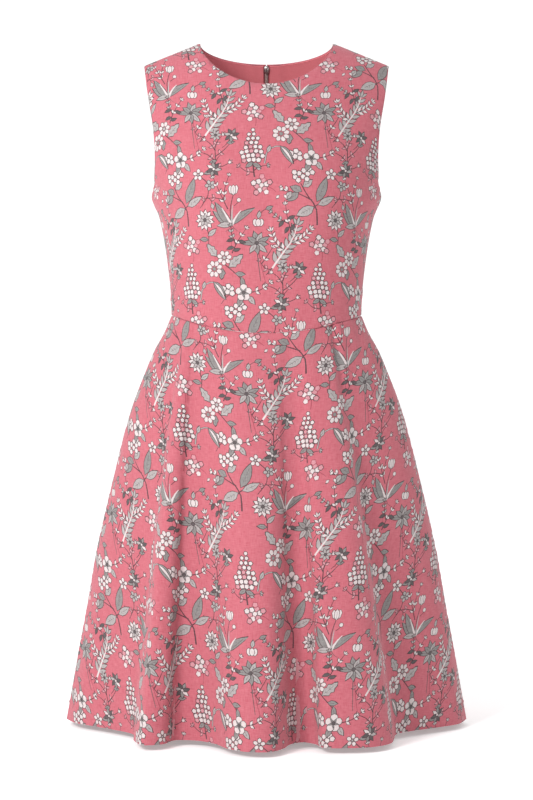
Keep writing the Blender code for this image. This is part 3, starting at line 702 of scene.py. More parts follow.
def sides_of(faces, count):
    """The three sides of each triangle, and two numbers for each side: one for the way that it
    runs, and one for the other way."""
    sides = np.concatenate([faces[:, [0, 1]], faces[:, [1, 2]], faces[:, [2, 0]]])
    return sides, sides[:, 0] * count + sides[:, 1], sides[:, 1] * count + sides[:, 0]


def renumbered(kept, count):
    """New numbers for the points that are kept, out of so many."""
    numbers = np.zeros(count, int)
    numbers[kept] = np.arange(len(kept))
    return numbers


def anticlockwise(outline):
    """The outline, turned round if the area it sweeps is negative."""
    ahead = np.roll(outline, -1, axis=0)
    swept = (outline[:, 0] * ahead[:, 1] - outline[:, 1] * ahead[:, 0]).sum()
    return outline if swept > 0 else outline[::-1]


def block(draw, size):
    """A motif as a printer's block, in metres: its drawn shapes cut into triangles that don't
    overlap, and the points and edges where the ink changes. Each triangle has its ink, the
    planes of its three sides, and the tiles that it reaches."""
    shapes = [(ink, anticlockwise(outline)) for ink, outline in draw()]
    points = np.concatenate([outline for _, outline in shapes]) * SCALE * size / 1000
    starts = np.cumsum([0] + [len(outline) for _, outline in shapes])
    outlines = [list(range(a, b)) for a, b in zip(starts[:-1], starts[1:])]
    spots, cells, owners, _ = cut(points, [], outlines)
    names = list(INKS)
    inked = [(cell, names.index(shapes[max(own)][0])) for cell, own in zip(cells, owners) if own]
    faces = np.array([face for face, _ in inked])
    inks = np.array([ink for _, ink in inked])
    sides, here, there = sides_of(faces, len(spots))
    tints = np.tile(inks, 3)
    order = np.argsort(here)
    at = np.clip(np.searchsorted(here[order], there), 0, len(here) - 1)
    matched = here[order][at] == there
    other = np.where(matched, tints[order][at], -1)
    edges = sides[(other != tints) & ((other < 0) | (sides[:, 0] < sides[:, 1]))]
    kept = np.unique(edges)
    corners = spots[faces]
    ahead = np.roll(corners, -1, axis=1) - corners
    planes = np.stack([-ahead[..., 1], ahead[..., 0]], axis=-1)
    planes = np.concatenate([planes, -(planes * corners).sum(axis=-1, keepdims=True)], axis=-1)
    tile = [np.floor(corners.min(axis=1) / TILE), np.floor(corners.max(axis=1) / TILE)]
    return spots[kept], renumbered(kept, len(spots))[edges], (planes.transpose(1, 0, 2), tile, inks)


BLOCKS = {}
for draw, _, _, _, size in LAYOUT:
    BLOCKS[draw, size] = BLOCKS.get((draw, size)) or block(draw, size)


BLOCK_REACH = 0.07
BORDER = 0.06
OVER_EDGE = 0.012
COARSE_CELLS = 30
WIDTHS = range(-8, 9)


def stamped(flat, shift):
    """Where each block lands on a panel's flat map, or just over its edge: the layout repeated
    by whole widths, each row of repeats moved half a width aside."""
    rows, columns = flat.shape[:2]
    nodes = flat[:: rows // COARSE_CELLS, :: columns // COARSE_CELLS].reshape(-1, 2)
    low = np.floor((nodes[:, 1].min() - BORDER) / REPEAT[1])
    high = np.ceil((nodes[:, 1].max() + BORDER) / REPEAT[1])
    landed = []
    for draw, x, y, turn, size in LAYOUT:
        for row in range(int(low) - 1, int(high) + 2):
            for column in WIDTHS:
                at_x = (column + row / 2) * REPEAT[0] + SCALE * x / 1000
                spot = np.array([at_x, row * REPEAT[1] + SCALE * y / 1000]) + shift
                spots = turned(BLOCKS[draw, size][0], turn, spot)
                if (np.abs(nodes - spot).max(axis=1) < BLOCK_REACH).any():
                    gaps = np.hypot(*(nodes[:, None] - spots[::5]).transpose(2, 0, 1))
                    if gaps.min() < OVER_EDGE:
                        landed.append((BLOCKS[draw, size], turn, spot))
    return landed


def triangulated(points, edges, ring):
    """Triangles inside a ring, the first of the points, with the given edges kept whole: the
    points, the faces, and the point that each given one went into."""
    spots, cells, owners, given = cut(points, edges, [list(range(ring))])
    faces = np.array([cell for cell, own in zip(cells, owners) if own])
    went = np.zeros(len(points), int)
    for spot, merged in enumerate(given):
        went[merged] = spot
    return spots, faces, went


def inks_of(middles, landed):
    """Ink under each triangle's middle: the last block whose triangles hold it, or none (-1).
    It is looked up tile by tile among the block's triangles."""
    inks = np.full(len(middles), -1)
    for (spots, _, (planes, (low, high), tints)), turn, at in landed:
        reach = np.abs(spots).max() * 1.5
        near = np.flatnonzero((np.abs(middles - at) < reach).all(axis=1))
        local = turned(middles[near] - at, -turn)
        tiles, group = np.unique(np.floor(local / TILE), axis=0, return_inverse=True)
        order = np.argsort(group.ravel(), kind="stable")
        ends = np.cumsum(np.bincount(group.ravel()))[:-1]
        local = np.concatenate([local, np.ones((len(near), 1))], axis=1)
        for tile, here in zip(tiles, np.split(order, ends)):
            there = np.flatnonzero(((low <= tile) & (high >= tile)).all(axis=1))
            if not len(there):
                continue
            holds = (planes[:, there] @ local[here].T > 0).all(axis=0)
            held = holds.any(axis=0)
            inks[near[here[held]]] = tints[there[holds.argmax(axis=0)[held]]]
    return inks


def placed(name, data):
    """A new object of the scene that holds a mesh, a light or a camera."""
    made = bpy.data.objects.new(name, data)
    bpy.context.scene.collection.objects.link(made)
    return made


def rim_of(faces, count):
    """The points round the edge of a sheet of triangles, in the order that its sides run."""
    sides, here, there = sides_of(faces, count)
    rim = sides[~np.isin(here, there)]
    ahead = dict(rim.tolist())
    ring = [int(rim[0, 0])]
    while len(ring) < len(rim):
        ring.append(ahead[ring[-1]])
    return np.array(ring)


def facing_of(corners):
    """Unit normals of triangles from their corners."""
    normal = np.cross(corners[:, 1] - corners[:, 0], corners[:, 2] - corners[:, 0])
    return normal / (np.linalg.norm(normal, axis=1, keepdims=True) + 1e-12)


INNER_MARGIN = 4


def cut_panel(name, grid, flat, face, landed, step):
    """A closed panel of cloth: its outer face is cut along the edges of the print, its inner
    one is plain, and a strip along the edge joins them. Both follow the panel's grid, whose
    nodes they share at the step given."""
    edge = np.concatenate([flat[0, :-1], flat[:-1, -1], flat[-1, :0:-1], flat[:0:-1, 0]])
    nodes = flat[INNER_MARGIN:-INNER_MARGIN:step, INNER_MARGIN:-INNER_MARGIN:step].reshape(-1, 2)
    points = [edge, nodes] + [turned(spots, turn, at) for (spots, _, _), turn, at in landed]
    starts = np.cumsum([0] + [len(p) for p in points])
    edges = [drawn[1] + start for (drawn, _, _), start in zip(landed, starts[2:])]
    edges = np.concatenate(edges).tolist()
    spots, faces, _ = triangulated(np.concatenate(points), edges, len(edge))
    inks = inks_of(spots[faces].mean(axis=1), landed)
    colours = np.array(list(INKS.values()) + [COTTON])[inks]
    used = np.unique(faces)
    faces = renumbered(used, len(spots))[faces]
    spots = spots[used]
    count = len(spots)
    ring = rim_of(faces, count)
    inner_spots, inner_faces, went = triangulated(np.concatenate([spots[ring], nodes]), [], len(ring))
    inner_faces = inner_faces[:, ::-1] + count
    both = np.concatenate([spots, inner_spots])
    places = places_of(flat, both)
    vertices = bilinear(grid, places)
    off = bilinear(outward(grid, face), places)
    off = off / np.linalg.norm(off, axis=1, keepdims=True)
    inside = vertices[count:] - off[count:] * CLOTH
    y = inside[:, 1]
    inside[:, 1] = np.minimum(y, -SEAM / 2) if face == "front" else np.maximum(y, SEAM / 2)
    vertices[count:] = inside
    after = np.roll(ring, -1)
    under = count + went[: len(ring)]
    under_after = np.roll(under, -1)
    strip = [np.stack(corners, axis=1) for corners in ((after, ring, under), (after, under, under_after))]
    strip = np.concatenate(strip)
    cloth = np.concatenate([faces, inner_faces, strip])
    strip_aim = facing_of(vertices[strip]) * (1 if face == "front" else -1)
    aim = np.concatenate([off[faces], -off[inner_faces], np.repeat(strip_aim[:, None], 3, axis=1)])
    if face == "back":
        cloth = cloth[:, ::-1]
        aim = aim[:, ::-1]
    colours = [colours, np.tile(COTTON_BACK, (len(inner_faces), 1)), np.tile(COTTON, (len(strip), 1))]
    colours = np.insert(np.concatenate(colours), 3, 1, axis=1)
    mesh = bpy.data.meshes.new(name)
    mesh.from_pydata(vertices.tolist(), [], cloth.tolist())
    mesh.shade_smooth()
    ink = mesh.attributes.new("ink", "FLOAT_COLOR", "FACE")
    ink.data.foreach_set("color", colours.astype(np.float32).ravel())
    laid = mesh.uv_layers.new(name="Laid flat")
    laid.uv.foreach_set("vector", both[cloth].astype(np.float32).ravel())
    mesh.normals_split_custom_set(aim.reshape(-1, 3).tolist())
    return placed(name, mesh)


def add(tree, kind, settings=(), **inputs):
    """A node of the kind, its inputs set to values or joined to other nodes' outputs."""
    node = tree.nodes.new("ShaderNode" + kind)
    for name, value in dict(settings).items():
        setattr(node, name, value)
    for name, value in inputs.items():
        socket = node.inputs[name.replace("_", " ")]
        if isinstance(value, bpy.types.NodeSocket):
            tree.links.new(value, socket)
        else:
            socket.default_value = value
    return node


def mixed(tree, way, share, a, b):
    """The colour that mixing a and b gives, each a colour or an output."""
    node = tree.nodes.new("ShaderNodeMix")
    node.data_type = "RGBA"
    node.blend_type = way
    for number, value in ((0, share), (6, a), (7, b)):
        if isinstance(value, bpy.types.NodeSocket):
            tree.links.new(value, node.inputs[number])
        else:
            node.inputs[number].default_value = value
    return node.outputs[2]


def stretched(tree, place, along, across, detail=2.0):
    """Noise drawn out into streaks: along and across are its sizes in metres on the flat cloth."""
    size = add(tree, "Mapping", Vector=place, Scale=(1 / along, 1 / across, 1))
    return add(tree, "TexNoise", Vector=size.outputs[0], Scale=1.0, Detail=detail).outputs["Fac"]


def new_material(name, roughness, sheen, metallic=0.0):
    """A material with its node tree and its shader."""
    material = bpy.data.materials.new(name)
    material.use_nodes = True
    shader = material.node_tree.nodes["Principled BSDF"]
    shader.inputs["Roughness"].default_value = roughness
    shader.inputs["Sheen Weight"].default_value = sheen
    shader.inputs["Sheen Roughness"].default_value = 0.5
    shader.inputs["Specular IOR Level"].default_value = 0.25
    shader.inputs["Metallic"].default_value = metallic
    return material, material.node_tree, shader


WEFT_SLUB = (0.0090, 0.0008)
WARP_SLUB = (0.0008, 0.0120)
DYE_PATCH = (0.0060, 0.0045)


def woven(tree, shader, colour, thread, uneven, height):
    """Plain-woven cotton over a colour: slubs drawn out along both threads, soft uneven dyeing,
    and the weave itself as a fine bump."""
    place = add(tree, "UVMap", {"uv_map": "Laid flat"}).outputs[0]
    weft = stretched(tree, place, *WEFT_SLUB)
    warp = stretched(tree, place, *WARP_SLUB)
    dye = stretched(tree, place, *DYE_PATCH, 4.0)
    slubs = add(tree, "Math", {"operation": "ADD"})
    tree.links.new(weft, slubs.inputs[0])
    tree.links.new(warp, slubs.inputs[1])
    streaks = add(tree, "MapRange", Value=slubs.outputs[0], From_Min=0.6, From_Max=1.4)
    deep = mixed(tree, "MULTIPLY", 1.0, colour, (1 - uneven, 1 - 1.6 * uneven, 1 - 1.5 * uneven, 1))
    pale = mixed(tree, "SCREEN", uneven * 0.55, colour, (1.0, 0.92, 0.92, 1))
    heathered = mixed(tree, "MIX", streaks.outputs[0], deep, pale)
    patch = add(tree, "MapRange", Value=dye, From_Min=0.3, From_Max=0.7)
    darker = (1 - 0.5 * uneven, 1 - 0.8 * uneven, 1 - 0.8 * uneven, 1)
    dyed = mixed(tree, "MULTIPLY", 1.0, heathered, darker)
    tree.links.new(mixed(tree, "MIX", patch.outputs[0], dyed, heathered), shader.inputs["Base Color"])
    bands = []
    thread_scale = 2 * math.pi / (20 * thread)
    for way in ("X", "Y"):
        wave = add(tree, "TexWave", {"bands_direction": way}, Vector=place, Scale=thread_scale)
        bands.append(wave.outputs["Fac"])
    weave = add(tree, "Math", {"operation": "MULTIPLY"})
    tree.links.new(bands[0], weave.inputs[0])
    tree.links.new(bands[1], weave.inputs[1])
    rise = add(tree, "Math", {"operation": "ADD"})
    tree.links.new(weave.outputs[0], rise.inputs[0])
    tree.links.new(slubs.outputs[0], rise.inputs[1])
    bump = add(tree, "Bump", Strength=0.5, Distance=height, Height=rise.outputs[0])
    tree.links.new(bump.outputs[0], shader.inputs["Normal"])


printed_cotton, cotton_tree, cotton_shader = new_material("printed cotton", 0.85, 0.15)
ink = add(cotton_tree, "Attribute", {"attribute_name": "ink"}).outputs["Color"]
woven(cotton_tree, cotton_shader, ink, thread=0.00045, uneven=0.15, height=0.00006)

CREASES = "x0 z0 x1 z1 bow wide deep seam"
BODICE_FRONT_CREASES = table(
    CREASES,
    (0.042, -0.040, 0.043, -0.172, 0.001, 0.0030, 0.0005, 0),
    (0.040, -0.200, 0.036, -0.350, -0.002, 0.0090, -0.0016, 0),
    (-0.060, -0.392, -0.075, -0.290, 0.004, 0.0100, 0.0012, 1),
    (0.070, -0.390, 0.084, -0.285, -0.004, 0.0100, 0.0012, 1),
    (-0.150, -0.200, -0.108, -0.235, 0.004, 0.0080, -0.0014, 1),
    (0.150, -0.196, 0.104, -0.226, -0.004, 0.0080, -0.0016, 1),
    (-0.128, -0.355, -0.085, -0.372, 0.003, 0.0070, 0.0010, 1),
    (0.129, -0.345, 0.080, -0.366, 0.003, 0.0070, 0.0011, 1),
    (-0.120, -0.060, -0.098, -0.135, 0.005, 0.0110, -0.0010, 0),
    (0.122, -0.064, 0.104, -0.150, -0.004, 0.0110, -0.0011, 0),
)
BODICE_COLUMNS = 221
BODICE_ROWS = 181
BODICE_STEP = 4
BODICE_FRONT_PRINT = (0.010, 0.052)


def girth(x, z, face):
    """Length round the chest from the centre to x: the oval section at z cut into 20 chords."""
    width = chest_width(z)[..., None]
    depth = through(z, DEPTHS["z"], DEPTHS[face])[..., None]
    angle = np.arcsin(np.clip(x / width[..., 0], -1, 1))[..., None] * np.linspace(0, 1, 21)
    section = np.stack([width * np.sin(angle), depth * oval_share(np.sin(angle), 1.0)], axis=-1)
    return np.sign(x) * np.linalg.norm(np.diff(section, axis=-2), axis=-1).sum(axis=-1)


def bodice_grid(face, low, high, rows):
    """A bodice panel from u = low to high: the worn grid, and its flat map, which gives each
    point its girth from the centre and its height up the cloth from the waist."""
    u = low + (high - low) * crowded(BODICE_COLUMNS)
    u, v = np.meshgrid(u, crowded(BODICE_ROWS))
    plain = bodice_place(u, v, face)
    flat_x = girth(plain[..., 0], plain[..., 2], face)
    flat_y = lengths(plain, 0) + plain[:1, :, 2] - WAIST_Z
    plain[..., 2] += SEAM / 2 * (1 - v)
    grid = worn(plain, face, rows, ("left", "right", "bottom", "top"))
    return grid, np.stack([flat_x, flat_y], axis=-1)


def finish_panel(node, grid, flat, face, shift, step):
    piece = cut_panel(f"cloth_{node}", grid, flat, face, stamped(flat, shift), step)
    piece.data.materials.append(printed_cotton)
    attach(piece, "dress")
    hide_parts(node)


grid, flat = bodice_grid("front", -1, 1, BODICE_FRONT_CREASES)
finish_panel(
    "bodice_front", grid, flat, "front", BODICE_FRONT_PRINT, BODICE_STEP
)


# The bodice back is cut in two halves that meet at the zip down the centre back.
BODICE_BACK_CREASES = table(
    CREASES,
    (-0.050, -0.392, -0.062, -0.300, 0.003, 0.0090, 0.0014, 1),
    (0.054, -0.392, 0.064, -0.292, -0.003, 0.0090, 0.0014, 1),
    (-0.010, -0.350, -0.080, -0.372, -0.003, 0.0080, 0.0012, 0),
    (0.010, -0.336, 0.084, -0.358, 0.003, 0.0080, 0.0013, 0),
    (-0.148, -0.190, -0.096, -0.240, 0.004, 0.0090, -0.0013, 1),
    (0.148, -0.194, 0.100, -0.236, -0.004, 0.0090, -0.0013, 1),
    (0.012, -0.120, 0.030, -0.260, 0.003, 0.0110, 0.0009, 0),
    (-0.012, -0.150, -0.034, -0.280, -0.003, 0.0110, 0.0009, 0),
)
SLIT = 0.0014
ZIP_END_Z = -0.514
BODICE_BACK_PRINTS = ((-1, "left", (0.030, 0.020)), (1, "right", (0.071, 0.064)))


def at_slit(grid, side):
    """Holds a back panel's centre edge half the zip's slit off the middle, or half a seam's gap
    below the zip."""
    held = grid.copy()
    half = np.where(held[..., 2] > ZIP_END_Z, SLIT, SEAM) / 2
    held[..., 0] = side * np.maximum(side * held[..., 0], half)
    return held


for side, word, shift in BODICE_BACK_PRINTS:
    grid, flat = bodice_grid("back", min(side, 0), max(side, 0), BODICE_BACK_CREASES)
    grid = at_slit(grid, side)
    finish_panel(f"bodice_back_{word}", grid, flat, "back", shift, BODICE_STEP)


# The skirt front is one flared piece that hangs from the waist seam in soft unpressed folds and
# is turned up at the hem.
HEM_Z = -0.936
SKIRT_WIDTHS = table(
    "z half",
    (-0.936, 0.2790),
    (-0.834, 0.2607),
    (-0.760, 0.2467),
    (-0.714, 0.2390),
    (-0.641, 0.2227),
    (-0.589, 0.2100),
    (-0.537, 0.1970),
    (-0.496, 0.1845),
    (-0.456, 0.1690),
    (-0.422, 0.1546),
    (-0.398, 0.1412),
    (-0.375, 0.1315),
)
FOLDS = "waist hem depth lag"
FRONT_FOLDS = table(
    FOLDS,
    (-0.1315, -0.279, 0.000, 1.0),
    (-0.1300, -0.262, 0.035, 1.0),
    (-0.1260, -0.234, 0.060, 1.1),
    (-0.1200, -0.212, 0.080, 1.2),
    (-0.1120, -0.179, 0.118, 1.3),
    (-0.1095, -0.174, 0.166, 1.3),
    (-0.1060, -0.160, 0.196, 1.4),
    (-0.1020, -0.137, 0.190, 1.4),
    (-0.0970, -0.119, 0.160, 1.4),
    (-0.0860, -0.093, 0.163, 1.4),
    (-0.0700, -0.067, 0.187, 1.0),
    (-0.0520, -0.048, 0.222, 1.0),
    (-0.0300, -0.022, 0.242, 1.0),
    (-0.0060, 0.004, 0.242, 1.0),
    (0.0120, 0.022, 0.218, 1.0),
    (0.0220, 0.033, 0.187, 1.2),
    (0.0340, 0.048, 0.175, 1.4),
    (0.0440, 0.063, 0.187, 1.5),
    (0.0520, 0.074, 0.213, 1.6),
    (0.0660, 0.104, 0.216, 1.6),
    (0.0800, 0.141, 0.206, 1.6),
    (0.0880, 0.163, 0.182, 1.6),
    (0.0910, 0.169, 0.150, 1.6),
    (0.0950, 0.175, 0.116, 1.5),
    (0.1060, 0.193, 0.097, 1.4),
    (0.1200, 0.234, 0.067, 1.2),
    (0.1290, 0.264, 0.041, 1.0),
    (0.1315, 0.279, 0.000, 1.0),
)
BACK_FOLDS = table(
    FOLDS,
    (-0.1315, -0.279, 0.000, 1.0),
    (-0.1300, -0.266, 0.034, 1.0),
    (-0.1250, -0.240, 0.062, 1.1),
    (-0.1190, -0.214, 0.092, 1.2),
    (-0.1120, -0.190, 0.142, 1.3),
    (-0.1040, -0.166, 0.180, 1.4),
    (-0.0930, -0.138, 0.188, 1.4),
    (-0.0820, -0.112, 0.170, 1.4),
    (-0.0700, -0.090, 0.150, 1.3),
    (-0.0550, -0.066, 0.160, 1.2),
    (-0.0380, -0.043, 0.198, 1.0),
    (-0.0160, -0.018, 0.222, 1.0),
    (0.0140, 0.016, 0.224, 1.0),
    (0.0350, 0.041, 0.204, 1.0),
    (0.0500, 0.062, 0.168, 1.2),
    (0.0640, 0.084, 0.152, 1.4),
    (0.0780, 0.109, 0.166, 1.5),
    (0.0900, 0.137, 0.194, 1.5),
    (0.1020, 0.167, 0.192, 1.4),
    (0.1120, 0.192, 0.160, 1.3),
    (0.1190, 0.215, 0.112, 1.2),
    (0.1250, 0.241, 0.074, 1.1),
    (0.1300, 0.266, 0.038, 1.0),
    (0.1315, 0.279, 0.000, 1.0),
)
SKIRT_FRONT_CREASES = table(
    CREASES,
    (0.088, -0.386, 0.106, -0.560, -0.004, 0.0055, -0.0030, 1),
    (0.097, -0.384, 0.112, -0.520, -0.003, 0.0050, 0.0022, 1),
    (0.060, -0.392, 0.066, -0.480, 0.002, 0.0060, 0.0016, 1),
    (0.030, -0.397, 0.034, -0.500, 0.002, 0.0070, -0.0016, 1),
    (-0.096, -0.386, -0.112, -0.470, 0.003, 0.0055, -0.0022, 1),
    (-0.088, -0.388, -0.098, -0.450, 0.002, 0.0050, 0.0016, 1),
    (-0.050, -0.394, -0.056, -0.470, 0.002, 0.0070, -0.0014, 1),
    (-0.018, -0.398, -0.020, -0.455, 0.002, 0.0060, 0.0010, 1),
    (-0.120, -0.382, -0.138, -0.460, 0.002, 0.0050, 0.0014, 1),
    (0.120, -0.382, 0.140, -0.470, -0.002, 0.0050, -0.0014, 1),
)
SKIRT_BACK_CREASES = table(
    CREASES,
    (0.062, -0.390, 0.078, -0.520, -0.004, 0.0060, -0.0026, 1),
    (0.098, -0.386, 0.116, -0.500, -0.003, 0.0055, 0.0020, 1),
    (-0.058, -0.392, -0.074, -0.540, 0.004, 0.0060, -0.0026, 1),
    (-0.102, -0.386, -0.122, -0.490, 0.003, 0.0055, 0.0020, 1),
    (0.026, -0.397, 0.030, -0.480, 0.002, 0.0070, 0.0012, 1),
    (-0.028, -0.397, -0.032, -0.470, 0.002, 0.0070, 0.0012, 1),
)
SKIRT_ROWS = 201
HEM_DEEP = 0.026
HEM_STITCH = 0.0004
HEM_GROOVE = 0.0011
SKIRT_COLUMNS = {"front": 321, "back": 181}
SKIRT_STEP = 3
SKIRT_FRONT_PRINT = (0.004, 0.030)


def skirt_place(s, v, face):
    """The skirt: s runs across its folds, by their length at the hem, and v from the waist (0)
    to the hem (1). Each point drifts from its waist to its hem place as the side outline flares,
    and its depth is the bell's at that height plus its own fold's, which grows with v."""
    folds = FRONT_FOLDS if face == "front" else BACK_FOLDS
    run = np.cumsum(np.hypot(np.diff(folds["hem"]), np.diff(folds["depth"])))
    run = np.insert(run, 0, 0) / run[-1]
    waist, hem, depth, lag = (through(s, run, folds[name]) for name in FOLDS.split())
    z = waist_z(waist) * (1 - v) + HEM_Z * v
    half = through(WAIST_SIDE_Z * (1 - v) + HEM_Z * v, SKIRT_WIDTHS["z"], SKIRT_WIDTHS["half"])
    hem_half = SKIRT_WIDTHS["half"][0]
    flare = np.clip((half - WAIST_X) / (hem_half - WAIST_X), 0, 1) ** lag
    x = waist + (hem - waist) * flare
    bell = through(z, DEPTHS["z"], DEPTHS[face]) * oval_share(x, half)
    hem_bell = DEPTHS[face][0] * oval_share(hem, hem_half)
    depth = np.maximum(bell + (depth - hem_bell) * v, 0)
    return np.stack([x, -depth if face == "front" else depth, z], axis=-1)


def skirt_grid(face, low, high, rows):
    """A skirt panel from s = low to high: the worn grid, sunk along the hem's stitches, and its
    flat map, which gives each point its length along the row from the middle and its height
    above the hem."""
    s = low + (high - low) * crowded(SKIRT_COLUMNS[face])
    s, v = np.meshgrid(s, 1 - crowded(SKIRT_ROWS))
    plain = skirt_place(s, v, face)
    along = lengths(plain, 1)
    start = np.argmin(np.abs(plain[0, :, 0]))
    flat_x = along - along[:, start : start + 1]
    flat_y = np.repeat(lengths(plain, 0)[:, start : start + 1], len(s[0]), axis=1)
    plain[..., 2] -= SEAM / 2 * (1 - v)
    grid = worn(plain, face, rows, ("left", "right", "top"))
    above = lengths(grid, 0)
    stitched = HEM_STITCH * np.exp(-(((above - HEM_DEEP) / HEM_GROOVE) ** 2))
    grid = grid - outward(grid, face) * stitched[..., None]
    return grid, np.stack([flat_x, flat_y], axis=-1)


grid, flat = skirt_grid("front", 0, 1, SKIRT_FRONT_CREASES)
finish_panel("skirt_front", grid, flat, "front", SKIRT_FRONT_PRINT, SKIRT_STEP)


# The skirt back is cut in two flared halves, joined down the centre back below the zip. They
# meet where the folds' run comes to the middle of the hem.
SKIRT_BACK_PRINTS = ((-1, "left", (0.048, 0.012)), (1, "right", (0.020, 0.083)))
fine = np.linspace(0.3, 0.7, 4001)
middle_s = float(fine[np.argmin(np.abs(skirt_place(fine, np.ones_like(fine), "back")[:, 0]))])
for side, word, shift in SKIRT_BACK_PRINTS:
    ends = (0, middle_s) if side < 0 else (middle_s, 1)
    grid, flat = skirt_grid("back", *ends, SKIRT_BACK_CREASES)
    grid = at_slit(grid, side)
    finish_panel(f"skirt_back_{word}", grid, flat, "back", shift, SKIRT_STEP)


# The neck is faced inside the back with plain cotton in two pieces, sewn on along the neckline
# and the shoulders. Their inner ends stop beside the coil and are raised over the zip tapes.
FACING_WALL = 0.0010
FACING_PINK = (0.74, 0.185, 0.215)
FACING_V = 0.83
FACING_U = (0.016, 0.74)
FACING_X = 0.0043
FACING_COLUMNS = 91
FACING_ROWS = 41
RAISED_X = (0.018, 0.030)
TAPE_WALL = 0.0006

facing_cotton, facing_tree, facing_shader = new_material("facing cotton", 0.88, 0.15)
woven(facing_tree, facing_shader, (*FACING_PINK, 1), thread=0.00040, uneven=0.05, height=0.00005)


def closed_wall(name, outer, inner, flat, material):
    """A closed sheet between two matching grids of points, its edges joined by a strip. Both
    faces carry the flat map, and the faces are turned outwards by the sign of the volume."""
    rows, columns = outer.shape[:2]
    count = rows * columns
    index = np.arange(count).reshape(rows, columns)
    cells = np.stack([index[:-1, :-1], index[:-1, 1:], index[1:, 1:], index[1:, :-1]], axis=-1)
    cells = cells.reshape(-1, 4)
    edge = np.concatenate([index[0, :-1], index[:-1, -1], index[-1, :0:-1], index[:0:-1, 0]])
    ahead = np.roll(edge, -1)
    strip = np.stack([ahead, edge, edge + count, ahead + count], axis=1)
    faces = np.concatenate([cells, cells[:, ::-1] + count, strip])
    points = np.concatenate([outer.reshape(-1, 3), inner.reshape(-1, 3)])
    p = points[faces]
    swept = (p[:, 0] * (np.cross(p[:, 1], p[:, 2]) + np.cross(p[:, 2], p[:, 3]))).sum()
    faces = faces if swept > 0 else faces[:, ::-1]
    mesh = bpy.data.meshes.new(name)
    mesh.from_pydata(points.tolist(), [], faces.tolist())
    laid = mesh.uv_layers.new(name="Laid flat")
    both = np.tile(flat.reshape(-1, 2), (2, 1))
    laid.uv.foreach_set("vector", both[faces].astype(np.float32).ravel())
    mesh.shade_smooth()
    mesh.set_sharp_from_angle(angle=math.radians(50))
    mesh.materials.append(material)
    return placed(name, mesh)


def lining_piece(name, grid, depth, wall, material, node):
    """A sheet that lies inside the back at the depth given, declared in place of its CAD solid
    and resting on the back bodice of its own side."""
    off = outward(grid, "back")
    outer = grid - off * depth
    inner = grid - off * (depth + wall)
    for face in (outer, inner):
        face[..., 1] = np.maximum(face[..., 1], SEAM / 2)
    flat = np.stack([lengths(grid, 1), lengths(grid, 0)], axis=-1)
    piece = closed_wall(name, outer, inner, flat, material)
    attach(piece, "dress")
    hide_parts(node)


for side, word in ((-1, "left"), (1, "right")):
    u = np.sort(side * np.linspace(*FACING_U, FACING_COLUMNS))
    u, v = np.meshgrid(u, FACING_V + (1 - FACING_V) * crowded(FACING_ROWS, (0, 1)))
    grid = bodice_place(u, v, "back")
    grid[:, 0 if side > 0 else -1, 0] = side * FACING_X
    grid = worn(grid, "back", BODICE_BACK_CREASES, ("top",))
    raised = np.clip((RAISED_X[1] - np.abs(grid[..., :1])) / (RAISED_X[1] - RAISED_X[0]), 0, 1)
    depth = CLOTH + SEAM + (TAPE_WALL + SEAM) * raised
    node = f"facing_back_{word}"
    lining_piece(f"lining_{node}", grid, depth, FACING_WALL, facing_cotton, node)


# The zip's two tapes are woven polyester in a darker pink, sewn inside the slit from the neck to
# below the hips.
TAPE_X = (0.0024, 0.0140)
TAPE_PINK = (0.45, 0.12, 0.14)
ZIP_BOTTOM_V = 0.21
TAPE_ROWS = 121
TAPE_COLUMNS = 9
SMALL = 1e-4

zip_tape, tape_tree, tape_shader = new_material("zip tape", 0.75, 0.05)
woven(tape_tree, tape_shader, (*TAPE_PINK, 1), thread=0.00060, uneven=0.06, height=0.00010)


def reaching(place, x, v, start):
    """The panel's parameter across at which each of its rows reaches x: five Newton steps."""
    s = np.full(np.shape(x), start, float)
    for _ in range(5):
        here = place(s, v, "back")[..., 0]
        slope = (place(s + SMALL, v, "back")[..., 0] - here) / SMALL
        s = s + (x - here) / slope
    return s


def centre_strip(xs):
    """The worn back along the zip at the given distances from the centre, from the zip's end up
    over the waist seam to the neck."""
    parts = []
    below_waist = ZIP_BOTTOM_V * (1 - crowded(TAPE_ROWS // 3, (0, 1)))
    for place, start, creases, edges, v in (
        (skirt_place, middle_s, SKIRT_BACK_CREASES, ("top",), below_waist),
        (bodice_place, 0.0, BODICE_BACK_CREASES, ("top", "bottom"), crowded(TAPE_ROWS)),
    ):
        x, v = np.meshgrid(xs, v)
        parts.append(worn(place(reaching(place, x, v, start), v, "back"), "back", creases, edges))
    return np.concatenate(parts)


for side, word in ((-1, "left"), (1, "right")):
    grid = centre_strip(np.sort(side * np.linspace(*TAPE_X, TAPE_COLUMNS)))
    node = f"zip_tape_{word}"
    lining_piece(f"woven_{node}", grid, CLOTH + SEAM, TAPE_WALL, zip_tape, node)


# The zip's coil is nylon: two rows of teeth that mesh down the centre back, on the tapes' edges,
# from the slider down. Each tooth is a small ellipsoid of eight sides and four bands.
PITCH = 0.0011
TOOTH = (0.0019, 0.00046, 0.00062)
TOOTH_ASIDE = 0.0006
COIL_DEPTH = 0.00270
SLIDER_FOOT = 0.0128
BESIDE = 0.0005
COIL_GREY = np.array([0.30, 0.20, 0.19])

